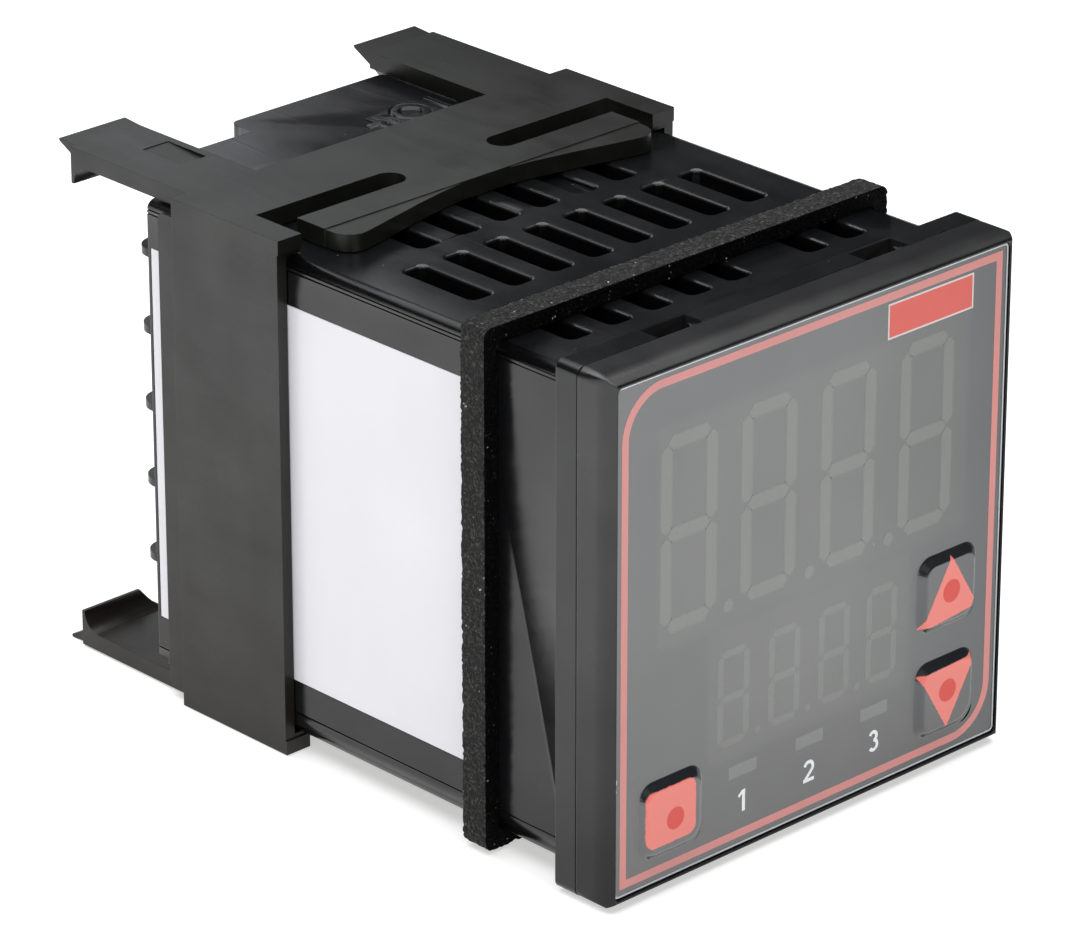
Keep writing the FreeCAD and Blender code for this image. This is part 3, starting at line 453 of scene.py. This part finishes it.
def link(name, me, mats, body, replaced=()):
    ob = bpy.data.objects.new(name, me)
    bpy.context.collection.objects.link(ob)
    while len(me.materials) > len(mats):
        me.materials.pop()
    for i, m in enumerate(mats):
        if i < len(me.materials):
            me.materials[i] = m
        else:
            me.materials.append(m)
    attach(ob, body)
    if replaced:
        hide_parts(*replaced)
    return ob


def smooth(me, deg=32.0):
    for p in me.polygons:
        p.use_smooth = True
    me.set_sharp_from_angle(angle=math.radians(deg))


def tidy_copy(node, name, mats, body, bevel=0.0, segments=2, deg=30.0, change=None, even=True, turn=32.0):
    """The node's own shape as a new piece: joined up, smooth-shaded, its edges broken."""
    src = NODES[node]
    bm = bmesh.new()
    bm.from_mesh(src.data)
    bmesh.ops.remove_doubles(bm, verts=bm.verts, dist=1e-6)
    bmesh.ops.dissolve_limit(bm, angle_limit=math.radians(0.6), verts=bm.verts, edges=bm.edges, use_dissolve_boundaries=False)
    if change:
        change(bm)
    me = bpy.data.meshes.new(name)
    bm.to_mesh(me)
    bm.free()
    ob = link(name, me, mats, body, (node,))
    if bevel > 0:
        mod = ob.modifiers.new("edges", "BEVEL")
        mod.width = bevel * MM
        mod.segments = segments
        mod.limit_method = "ANGLE"
        mod.angle_limit = math.radians(deg)
        mod.use_clamp_overlap = False
        mod.harden_normals = False
        dg = bpy.context.evaluated_depsgraph_get()
        new = bpy.data.meshes.new_from_object(ob.evaluated_get(dg))
        ob.modifiers.clear()
        old = ob.data
        ob.data = new
        bpy.data.meshes.remove(old)
        new.name = name
    smooth(ob.data, turn)
    if even:
        # large flats keep their own normal right up to the fillets
        mod = ob.modifiers.new("even", "WEIGHTED_NORMAL")
        mod.mode = "FACE_AREA"
        mod.weight = 50
        mod.keep_sharp = True
        dg = bpy.context.evaluated_depsgraph_get()
        new = bpy.data.meshes.new_from_object(ob.evaluated_get(dg))
        ob.modifiers.clear()
        old = ob.data
        ob.data = new
        bpy.data.meshes.remove(old)
        new.name = name
    return ob


def flat_shape(bm, pts, y, thick=0.012, mat=0):
    """A thin printed shape on the front plane: outline pts (x, z) in mm, its face at y."""
    n = len(pts)
    area = sum(pts[i][0] * pts[(i + 1) % n][1] - pts[(i + 1) % n][0] * pts[i][1] for i in range(n))
    if area < 0:
        pts = pts[::-1]
    front = [bm.verts.new((x * MM, y * MM, z * MM)) for x, z in pts]
    back = [bm.verts.new((x * MM, (y + thick) * MM, z * MM)) for x, z in pts]
    f = bm.faces.new(front)
    f.material_index = mat
    for i in range(n):
        j = (i + 1) % n
        q = bm.faces.new((front[j], front[i], back[i], back[j]))
        q.material_index = mat
    return f


def arc(cx, cz, r, a0, a1, n=10):
    return [(cx + r * math.cos(math.radians(a0 + (a1 - a0) * i / n)), cz + r * math.sin(math.radians(a0 + (a1 - a0) * i / n))) for i in range(n + 1)]


def round_rect(cx, cz, hx, hz, r, n=6):
    if not isinstance(r, (tuple, list)):
        r = (r, r, r, r)
    tr, tl, bl, br = r
    return (arc(cx + hx - tr, cz + hz - tr, tr, 0, 90, n) + arc(cx - hx + tl, cz + hz - tl, tl, 90, 180, n)
            + arc(cx - hx + bl, cz - hz + bl, bl, 180, 270, n) + arc(cx + hx - br, cz - hz + br, br, 270, 360, n))


def round_poly(pts, r, n=5):
    """Rounds each corner of a convex polygon."""
    out = []
    k = len(pts)
    for i in range(k):
        p, a, b = Vector(pts[i]), Vector(pts[i - 1]), Vector(pts[(i + 1) % k])
        u, v = (a - p).normalized(), (b - p).normalized()
        half = u.angle(v) / 2
        d = r / math.tan(half)
        c = p + (u + v).normalized() * (r / math.sin(half))
        s, e = p + u * d, p + v * d
        a0 = math.atan2(s.y - c.y, s.x - c.x)
        a1 = math.atan2(e.y - c.y, e.x - c.x)
        da = (a1 - a0 + math.pi) % (2 * math.pi) - math.pi
        out += [(c.x + r * math.cos(a0 + da * t / n), c.y + r * math.sin(a0 + da * t / n)) for t in range(n + 1)]
    return out


def ring_shape(bm, outer, inner, y, thick=0.012, mat=0):
    """A printed frame between two outlines with the same number of points."""
    n = len(outer)
    ov = [bm.verts.new((x * MM, y * MM, z * MM)) for x, z in outer]
    iv = [bm.verts.new((x * MM, y * MM, z * MM)) for x, z in inner]
    ob_ = [bm.verts.new((x * MM, (y + thick) * MM, z * MM)) for x, z in outer]
    ib = [bm.verts.new((x * MM, (y + thick) * MM, z * MM)) for x, z in inner]
    for i in range(n):
        j = (i + 1) % n
        for q in ((ov[i], ov[j], iv[j], iv[i]), (ov[j], ov[i], ob_[i], ob_[j]), (iv[i], iv[j], ib[j], ib[i])):
            f = bm.faces.new(q)
            f.material_index = mat


def finish_mesh(bm, name, flip_check=True):
    bmesh.ops.recalc_face_normals(bm, faces=bm.faces)
    me = bpy.data.meshes.new(name)
    bm.to_mesh(me)
    bm.free()
    return me


# ---------------------------------------------------------------------------
# Hard pieces: the frame's shapes with broken edges
# ---------------------------------------------------------------------------


def darken_insides(bm):
    """Paints shade into the walls of the vents and of the lever slots, and into the inside of the sleeve: they get the
    second material, a near-black, almost unglossy copy of the case plastic.
    """
    for f in bm.faces:
        c = f.calc_center_median() / MM
        n = f.normal
        slot = abs(abs(c.x) - 12.25) < 2.65 and -2.5 < c.y < -0.3 and abs(c.z) > 22.2 and f.calc_area() < 4e-5 and abs(c.z) < 23.99
        inner = max(abs(c.x), abs(c.z)) < 21.0 and max(abs(n.x), abs(n.z)) > 0.5 and c.x * n.x + c.z * n.z < 0
        vent = 4.0 < c.y < 38.0 and abs(c.z) < 22.15 and abs(c.z) > 20.7 and abs(n.z) < 0.3 and abs(c.x) < 18.5
        if slot or inner or vent:
            f.material_index = 1


sleeve = tidy_copy("case_sleeve", "sleeve_shell", [M["case"], M["hollow_painted_shade"]], "case", change=darken_insides, turn=50.0)
clamp = tidy_copy("panel_clamp", "clamp_shell", [M["clamp"]], "clamp")
bezel = tidy_copy("front_bezel", "bezel_shell", [M["bezel"]], "front_unit")


def frame_loop(half, r, n_side=190, n_arc=8):
    """Points round a rounded square, the same count for every size."""
    out = []
    for k in range(4):
        a = math.radians(90 * k)
        ca, sa = math.cos(a), math.sin(a)

        def turn(x, z):
            return (x * ca - z * sa, x * sa + z * ca)
        for i in range(n_side):
            out.append(turn(half, (half - r) * (2 * i / n_side - 1)))
        for i in range(n_arc):
            b = math.radians(90 * i / n_arc)
            out.append(turn(half - r + r * math.cos(b), half - r + r * math.sin(b)))
    return out


def foam_frame():
    """The gasket with a torn, uneven skin that stays inside its true outline."""
    y0, y1, ho, hi = 8.45, 11.45, 24.0, 22.49
    section = []
    steps = ((ho, y0, ho, y1, 14), (ho, y1, hi, y1, 7), (hi, y1, hi, y0, 4), (hi, y0, ho, y0, 8))
    for xa, ya, xb, yb, m in steps:
        for i in range(m):
            f = i / m
            section.append((xa + (xb - xa) * f, ya + (yb - ya) * f))
    mid_h, mid_y = (ho + hi) / 2, (y0 + y1) / 2
    bm = bmesh.new()
    rows = []
    for h, y in section:
        row = []
        for x, z in frame_loop(h, 0.9):
            q = Vector((x, y, z))
            a = noise3.noise(q * 0.55) * 0.5 + noise3.noise(q * 1.7 + Vector((7, 3, 1))) * 0.5
            b = noise3.noise(q * 3.9 + Vector((2, 9, 4)))
            c = noise3.noise(q * 8.0 + Vector((5, 5, 2)))
            d = 0.02 + 0.16 * abs(a) + 0.16 * abs(b) + 0.08 * abs(c)
            # pull the point towards the middle of the section
            m = max(abs(x), abs(z))
            f = 1.0 - d * 2.0 / (ho - hi) * 0.55 * (1 if h > mid_h else 0)
            k = (mid_h + (h - mid_h) * f) / h
            yy = mid_y + (y - mid_y) * (1.0 - d * 2.0 / (y1 - y0))
            row.append(bm.verts.new((x * k * MM, yy * MM, z * k * MM)))
        rows.append(row)
    c, k = len(rows), len(rows[0])
    for i in range(c):
        for j in range(k):
            bm.faces.new((rows[i][j], rows[i][(j + 1) % k], rows[(i + 1) % c][(j + 1) % k], rows[(i + 1) % c][j]))
    me = finish_mesh(bm, "gasket_shell")
    smooth(me, 60)
    return link("gasket_shell", me, [M["foam"]], "gasket", ("panel_gasket",))


gasket = foam_frame()
tidy_copy("rear_terminal_block", "block_shell", [M["block"]], "case")
tidy_copy("terminal_barriers", "barrier_shell", [M["block"]], "case")
tidy_copy("side_label", "label_sheet", [M["label"]], "case")

# ---------------------------------------------------------------------------
# Front film, its print, the ghosts of the digits
# ---------------------------------------------------------------------------
FILM_Y = -6.25
tidy_copy("front_film", "film_sheet", [M["film"]], "front_unit")

bm = bmesh.new()
# pale cut edge of the film
n = 5
outer = round_rect(0, 0, 23.2, 23.05, 0.45, n)
inner = round_rect(0, 0, 23.04, 22.89, 0.35, n)
ring_shape(bm, outer, inner, FILM_Y - 0.004, 0.01)
me = finish_mesh(bm, "film_edge_line")
link("film_edge_line", me, [M["film_edge"]], "front_unit", ())

bm = bmesh.new()
x0, x1, z0, z1, w = -22.6, 22.5, -22.35, 22.5, 0.75
cx, cz, hx, hz = (x0 + x1) / 2, (z0 + z1) / 2, (x1 - x0) / 2, (z1 - z0) / 2
outer = round_rect(cx, cz, hx, hz, (0.05, 4.6, 0.05, 4.6), 14)
inner = round_rect(cx, cz, hx - w, hz - w, (0.05, 3.9, 0.05, 3.9), 14)
ring_shape(bm, outer, inner, FILM_Y - 0.010, 0.009)
me = finish_mesh(bm, "print_border")
link("print_border", me, [M["border"]], "front_unit", ())

# plain two-tone field in the upper right corner
bm = bmesh.new()
flat_shape(bm, round_rect(13.7, 19.85, 5.25, 1.62, 0.05), FILM_Y - 0.006, 0.005, 1)
flat_shape(bm, round_rect(13.7, 19.85, 5.08, 1.45, 0.03), FILM_Y - 0.012, 0.005, 0)
me = finish_mesh(bm, "print_field")
link("print_field", me, [M["field"], M["field_edge"]], "front_unit", ())


def segments(cx, cz, w, h, t, gap, slant=0.0):
    """The seven segments of a digit as outlines."""
    def sk(p):
        return (p[0] + slant * (p[1] - cz), p[1])
    out = []
    c = t * 0.42

    def hseg(z):
        a, b = cx - w / 2 + t / 2 + gap, cx + w / 2 - t / 2 - gap
        return [(a, z), (a + c, z + t / 2), (b - c, z + t / 2), (b, z), (b - c, z - t / 2), (a + c, z - t / 2)]

    def vseg(x, a, b):
        return [(x, a + gap), (x + t / 2, a + c + gap), (x + t / 2, b - c - gap), (x, b - gap), (x - t / 2, b - c - gap), (x - t / 2, a + c + gap)]
    zb, zm, zt = cz - h / 2 + t / 2, cz, cz + h / 2 - t / 2
    for z in (zb, zm, zt):
        out.append(hseg(z))
    for x in (cx - w / 2 + t / 2, cx + w / 2 - t / 2):
        out.append(vseg(x, zb, zm))
        out.append(vseg(x, zm, zt))
    return [[sk(p) for p in s] for s in out]


bm = bmesh.new()
for i, cx in enumerate((-14.88, -5.55, 3.90, 13.45)):
    for s in segments(cx, 8.3, 6.70, 17.95, 1.46, 0.08):
        flat_shape(bm, s, FILM_Y - 0.004, 0.003, 1)
    for s in segments(cx, 8.3, 6.45, 17.7, 1.18, 0.22):
        flat_shape(bm, s, FILM_Y - 0.008, 0.003, 0)
for x, z in ((-10.15, -0.2), (-0.55, -0.2), (9.1, -0.2)):
    flat_shape(bm, arc(x, z, 0.68, 0, 345, 15), FILM_Y - 0.004, 0.003, 1)
    flat_shape(bm, arc(x, z, 0.54, 0, 345, 15), FILM_Y - 0.008, 0.003, 0)
me = finish_mesh(bm, "upper_ghost_digits")
link("upper_ghost_digits", me, [M["segment"], M["segment_soft"]], "front_unit", ())

bm = bmesh.new()
for cx in (-9.40, -3.33, 2.70, 8.52):
    for s in segments(cx, -8.8, 3.8, 9.0, 0.72, 0.10):
        flat_shape(bm, s, FILM_Y - 0.004, 0.003, 0)
for x in (-6.4, -0.35, 5.65):
    flat_shape(bm, arc(x, -12.9, 0.36, 0, 345, 15), FILM_Y - 0.004, 0.003, 0)
me = finish_mesh(bm, "lower_ghost_digits")
link("lower_ghost_digits", me, [M["segment_low"]], "front_unit", ())

bm = bmesh.new()
for x, z in ((-8.15, -16.0), (-0.1, -16.0), (7.85, -16.0)):
    flat_shape(bm, round_rect(x, z, 1.68, 0.6, 0.08), FILM_Y - 0.004, 0.003, 0)
    flat_shape(bm, round_rect(x, z - 0.72, 1.68, 0.10, 0.04), FILM_Y - 0.004, 0.003, 1)
me = finish_mesh(bm, "lamp_windows")
link("lamp_windows", me, [M["lamp_window"], M["segment_rim"]], "front_unit", ())


def stroke(bm, pts, w, y, mat=0):
    """A printed line of width w along pts, one strip of faces looking forward."""
    n = len(pts)
    pairs = []
    for i in range(n):
        p = Vector(pts[i])
        d0 = (p - Vector(pts[i - 1])).normalized() if i else (Vector(pts[1]) - p).normalized()
        d1 = (Vector(pts[i + 1]) - p).normalized() if i < n - 1 else d0
        m = (Vector((-d0.y, d0.x)) + Vector((-d1.y, d1.x))).normalized()
        k = (w / 2) / max(0.45, m.dot(Vector((-d0.y, d0.x))))
        pairs.append([bm.verts.new(((q.x) * MM, y * MM, (q.y) * MM)) for q in (p + m * k, p - m * k)])
    for (a0, a1), (b0, b1) in zip(pairs, pairs[1:]):
        f = bm.faces.new((a0, b0, b1, a1))
        f.normal_update()
        if f.normal.y > 0:
            f.normal_flip()
        f.material_index = mat


def lamp_numeral(text, cx, cz, h=2.05):
    """Lamp number, drawn from strokes."""
    bm = bmesh.new()
    w = h * 0.16
    if text == "1":
        stroke(bm, [(cx + 0.10 * h, cz - h / 2), (cx + 0.10 * h, cz + h / 2)], w * 1.1, FILM_Y - 0.010)
        stroke(bm, [(cx + 0.06 * h, cz + 0.44 * h), (cx - 0.20 * h, cz + 0.24 * h)], w * 0.9, FILM_Y - 0.012)
    elif text == "2":
        r = 0.245 * h
        top = [(cx + r * math.cos(math.radians(a)), cz + h / 2 - w / 2 - r + r * math.sin(math.radians(a))) for a in range(165, -46, -15)]
        stroke(bm, top + [(cx - 0.20 * h, cz - h / 2 + w * 0.8)], w, FILM_Y - 0.010)
        stroke(bm, [(cx - 0.32 * h, cz - h / 2 + w / 2), (cx + 0.33 * h, cz - h / 2 + w / 2)], w, FILM_Y - 0.012)
    else:
        r1, r2 = 0.20 * h, 0.225 * h
        up = [(cx - 0.02 * h + r1 * math.cos(math.radians(a)), cz + h / 2 - w / 2 - r1 + r1 * math.sin(math.radians(a))) for a in range(160, -91, -15)]
        dn = [(cx + r2 * math.cos(math.radians(a)), cz - h / 2 + w / 2 + r2 + r2 * math.sin(math.radians(a))) for a in range(90, -161, -15)]
        stroke(bm, up, w, FILM_Y - 0.010)
        stroke(bm, dn, w, FILM_Y - 0.012)
    me = bpy.data.meshes.new("numeral_" + text)
    bm.to_mesh(me)
    bm.free()
    link("numeral_" + text, me, [M["numeral"]], "front_unit", ())


for text, x, z in (("1", -8.2, -19.0), ("2", -0.1, -19.0), ("3", 7.9, -18.9)):
    lamp_numeral(text, x, z)

# ---------------------------------------------------------------------------
# Keys: embossed pads with printed faces
# ---------------------------------------------------------------------------
RISE = 0.62


def pad_profile(d):
    """Height over the film at distance d (mm) in from the foot."""
    w = 0.85
    if d <= 0:
        return 0.0
    if d >= w:
        return RISE
    s = d / w
    return RISE * (s * s * (3 - 2 * s))


def pad_outline(cx, cz, inset, corners=(1.5, 1.5, 1.5, 1.5), n=8, hx=3.75, hz=3.65):
    r = [max(0.12, c - inset * 0.75) for c in corners]
    return round_rect(cx, cz, hx - inset, hz - inset, r, n)


def key(name, cx, cz, node, body, corners):
    bm = bmesh.new()
    steps = [0.0, 0.07, 0.15, 0.24, 0.33, 0.43, 0.53, 0.63, 0.74, 0.85, 1.00, 1.20]
    loops = []
    back = [bm.verts.new((x * MM, (FILM_Y + 1.15) * MM, z * MM)) for x, z in pad_outline(cx, cz, 0.0, corners)]
    loops.append(back)
    for s in steps:
        y = FILM_Y - pad_profile(s)
        loops.append([bm.verts.new((x * MM, y * MM, z * MM)) for x, z in pad_outline(cx, cz, s, corners)])
    k = len(back)
    for a, b in zip(loops, loops[1:]):
        for i in range(k):
            j = (i + 1) % k
            bm.faces.new((a[i], a[j], b[j], b[i]))
    bm.faces.new(loops[-1])
    bm.faces.new(back[::-1])
    me = finish_mesh(bm, name)
    smooth(me, 50)
    return link(name, me, [M["pad"]], body, (node,))




def key_print(name, shape, dot):
    """The film over a key with its print: shape is a rounded box or a list of half planes, dot a disc."""
    def extra(t, col):
        x, z = t.axis("X"), t.axis("Z")
        if shape[0] == "box":
            _, bx, bz, hx, hz, r = shape
            qx = t.math("MAXIMUM", t.math("ADD", t.math("ABSOLUTE", t.math("ADD", x, -bx)), r - hx), 0.0)
            qz = t.math("MAXIMUM", t.math("ADD", t.math("ABSOLUTE", t.math("ADD", z, -bz)), r - hz), 0.0)
            d = t.math("ADD", t.math("SQRT", t.math("ADD", t.math("MULTIPLY", qx, qx), t.math("MULTIPLY", qz, qz))), -r)
        else:
            pts = shape[1]
            d = None
            gx, gz = sum(p[0] for p in pts) / 3, sum(p[1] for p in pts) / 3
            for i in range(3):
                (xa, za), (xb, zb) = pts[i], pts[(i + 1) % 3]
                nx, nz = zb - za, xa - xb
                k = math.hypot(nx, nz)
                nx, nz = nx / k, nz / k
                c = nx * xa + nz * za
                if nx * gx + nz * gz > c:
                    nx, nz, c = -nx, -nz, -c
                e = t.math("ADD", t.math("ADD", t.math("MULTIPLY", x, nx), t.math("MULTIPLY", z, nz)), -c)
                d = e if d is None else t.math("SMOOTH_MAX", d, e, 0.30)
        edge = t.math("ADD", d, t.span(t.noise(2.5, 2.0, 0.5), -0.03, 0.03, 0.3, 0.7))
        mask = t.span(edge, 1.0, 0.0, -0.05, 0.05)
        col = t.mix(mask, col, (0.74, 0.185, 0.150))
        rx, rz = t.math("ADD", x, -dot[0]), t.math("ADD", z, -dot[1])
        rad = t.math("SQRT", t.math("ADD", t.math("MULTIPLY", rx, rx), t.math("MULTIPLY", rz, rz)))
        col = t.mix(t.span(rad, 1.0, 0.0, dot[2] - 0.05, dot[2] + 0.05), col, (0.60, 0.040, 0.022))
        return col, mask
    return film_material(name, (0.014, 0.016, 0.019), extra, **GLASS)


KEYS = {"set": (-16.75, -17.15), "up": (16.55, -7.15), "down": (16.55, -17.20)}
DX, DZ = -0.59, 0.38
PRINT = {
    "set": (("box", -16.55 + DX, -17.25 + DZ, 2.85, 2.62, 0.9), (-16.1 + DX, -17.8 + DZ, 1.02)),
    "up": (("tri", [(16.6, -3.94), (12.98, -10.12), (19.97, -9.5)]), (17.25 + DX, -7.65 + DZ, 1.07)),
    "down": (("tri", [(12.98, -14.53), (20.0, -14.25), (16.45, -20.3)]), (17.1 + DX, -17.1 + DZ, 1.07)),
}
CORNERS = {"set": (1.6, 1.6, 1.6, 2.0), "up": (1.6, 1.6, 1.6, 2.0), "down": (1.6, 1.6, 1.6, 2.4)}
for k in ("set", "up", "down"):
    M["pad_" + k] = key_print("key_film_" + k, *PRINT[k])
    pad = key("pad_" + k, *KEYS[k], "key_" + k, k + "_key", CORNERS[k])
    pad.data.materials[0] = M["pad_" + k]

# the film runs on to the foot of each pad: a collar over the fine gap
bm = bmesh.new()
for k in ("set", "up", "down"):
    cx, cz = KEYS[k]
    r = CORNERS[k]
    ring_shape(bm, round_rect(cx, cz, 3.98, 3.88, tuple(v + 0.2 for v in r), 8), round_rect(cx, cz, 3.71, 3.61, r, 8), FILM_Y - 0.003, 0.002)
me = finish_mesh(bm, "film_collars")
link("film_collars", me, [M["film"]], "front_unit", ())

# white nick in the film's left edge
bm = bmesh.new()
flat_shape(bm, [(-23.19, -13.4), (-22.98, -13.1), (-23.08, -12.6), (-22.93, -12.2), (-23.10, -11.7), (-23.19, -11.4)], FILM_Y - 0.012, 0.004)
flat_shape(bm, [(-23.19, -14.3), (-23.05, -14.2), (-23.12, -13.9), (-23.19, -13.8)], FILM_Y - 0.012, 0.004)
me = finish_mesh(bm, "film_nick")
link("film_nick", me, [M["field_edge"]], "front_unit", ())

# shade in the lever slots
bm = bmesh.new()
for x0 in (9.7, -14.8):
    for sz in (1, -1):
        x1, y0, y1, z = x0 + 5.07, -2.28, -0.38, 22.31 * sz
        vs = [bm.verts.new((px * MM, py * MM, z * MM)) for px, py in ((x0 + 0.03, y0), (x1, y0), (x1, y1), (x0 + 0.03, y1))]
        bm.faces.new(vs if sz > 0 else vs[::-1])
me = finish_mesh(bm, "slot_shade", False)
link("slot_shade", me, [M["hollow_painted_shade"]], "case", ())

# small tongues of the bezel's latches at the right end of each upper lever slot
bm = bmesh.new()
for x0 in (13.9, -10.6):
    for a, b, c, d, e, f in ((x0, x0 + 0.75, -2.28, -1.75, 22.6, 23.72), (x0 + 0.45, x0 + 0.75, -1.76, -1.1, 22.6, 23.55)):
        vs = [bm.verts.new((x * MM, y * MM, z * MM)) for x in (a, b) for y in (c, d) for z in (e, f)]
        for q in ((0, 1, 3, 2), (4, 6, 7, 5), (0, 4, 5, 1), (2, 3, 7, 6), (0, 2, 6, 4), (1, 5, 7, 3)):
            bm.faces.new([vs[i] for i in q])
me = finish_mesh(bm, "latch_tongues")
link("latch_tongues", me, [M["bezel"]], "front_unit", ())

# ---------------------------------------------------------------------------
# Floor, light, camera
# ---------------------------------------------------------------------------
bm = bmesh.new()
bmesh.ops.create_grid(bm, x_segments=1, y_segments=1, size=3.0)
me = bpy.data.meshes.new("floor")
bm.to_mesh(me)
bm.free()
floor = bpy.data.objects.new("floor", me)
bpy.context.collection.objects.link(floor)
floor.location = (0, 0, CAD_LO.z - 0.00002)
t = Tree("floor_paint")
t.to("Base Color", t.ramp(t.noise(0.02, 2.0, 0.5), [(0.3, (0.60, 0.60, 0.60)), (0.7, (0.62, 0.62, 0.62))]))
t.to("Roughness", 0.75)
t.to("Emission Color", (1.0, 0.995, 0.985))
t.to("Emission Strength", 0.52)
floor.data.materials.append(t.m)


def area(name, loc, target, size, power, colour=(1, 1, 1), size_y=None):
    li = bpy.data.lights.new(name, "AREA")
    li.shape = "RECTANGLE" if size_y else "SQUARE"
    li.size = size
    if size_y:
        li.size_y = size_y
    li.energy = power
    li.color = colour
    ob = bpy.data.objects.new(name, li)
    bpy.context.collection.objects.link(ob)
    ob.location = loc
    ob.rotation_euler = (Vector(target) - Vector(loc)).to_track_quat("-Z", "Y").to_euler()
    return ob


area("top_soft", (0.0, 0.10, 1.1), (0, 0.05, 0), 1.70, 30.0, (0.985, 0.99, 1.0))
area("left_soft", (-1.25, -0.35, 0.55), (0, 0.02, 0), 0.9, 3.0)
area("front_fill", (-0.35, -1.4, 0.65), (0, 0.02, 0), 0.9, 5.0)
area("back_card", (0.36, 1.18, 0.52), (0, 0.03, 0), 1.0, 2.1, (0.93, 0.95, 1.0), size_y=0.60)

world = bpy.data.worlds.new("studio")
bpy.context.scene.world = world
world.use_nodes = True
bg = world.node_tree.nodes["Background"]
bg.inputs[0].default_value = (0.93, 0.96, 1.0, 1)
bg.inputs[1].default_value = 0.05

cam_data = bpy.data.cameras.new("camera")
cam = bpy.data.objects.new("camera", cam_data)
bpy.context.collection.objects.link(cam)
cam_data.sensor_width = 36.0
cam_data.lens = 200.76
cam_data.clip_start = 0.01
cam_data.dof.use_dof = False
az, el, roll = math.radians(-43.598), math.radians(23.888), math.radians(-0.014)
fwd = Vector((-math.sin(az) * math.cos(el), math.cos(az) * math.cos(el), -math.sin(el)))
cam.location = (-0.33314, -0.32282, 0.21208)
cam.rotation_euler = fwd.to_track_quat("-Z", "Y").to_euler()
bpy.context.scene.camera = cam

bpy.context.scene.view_settings.view_transform = "Standard"
bpy.context.view_layer.update()
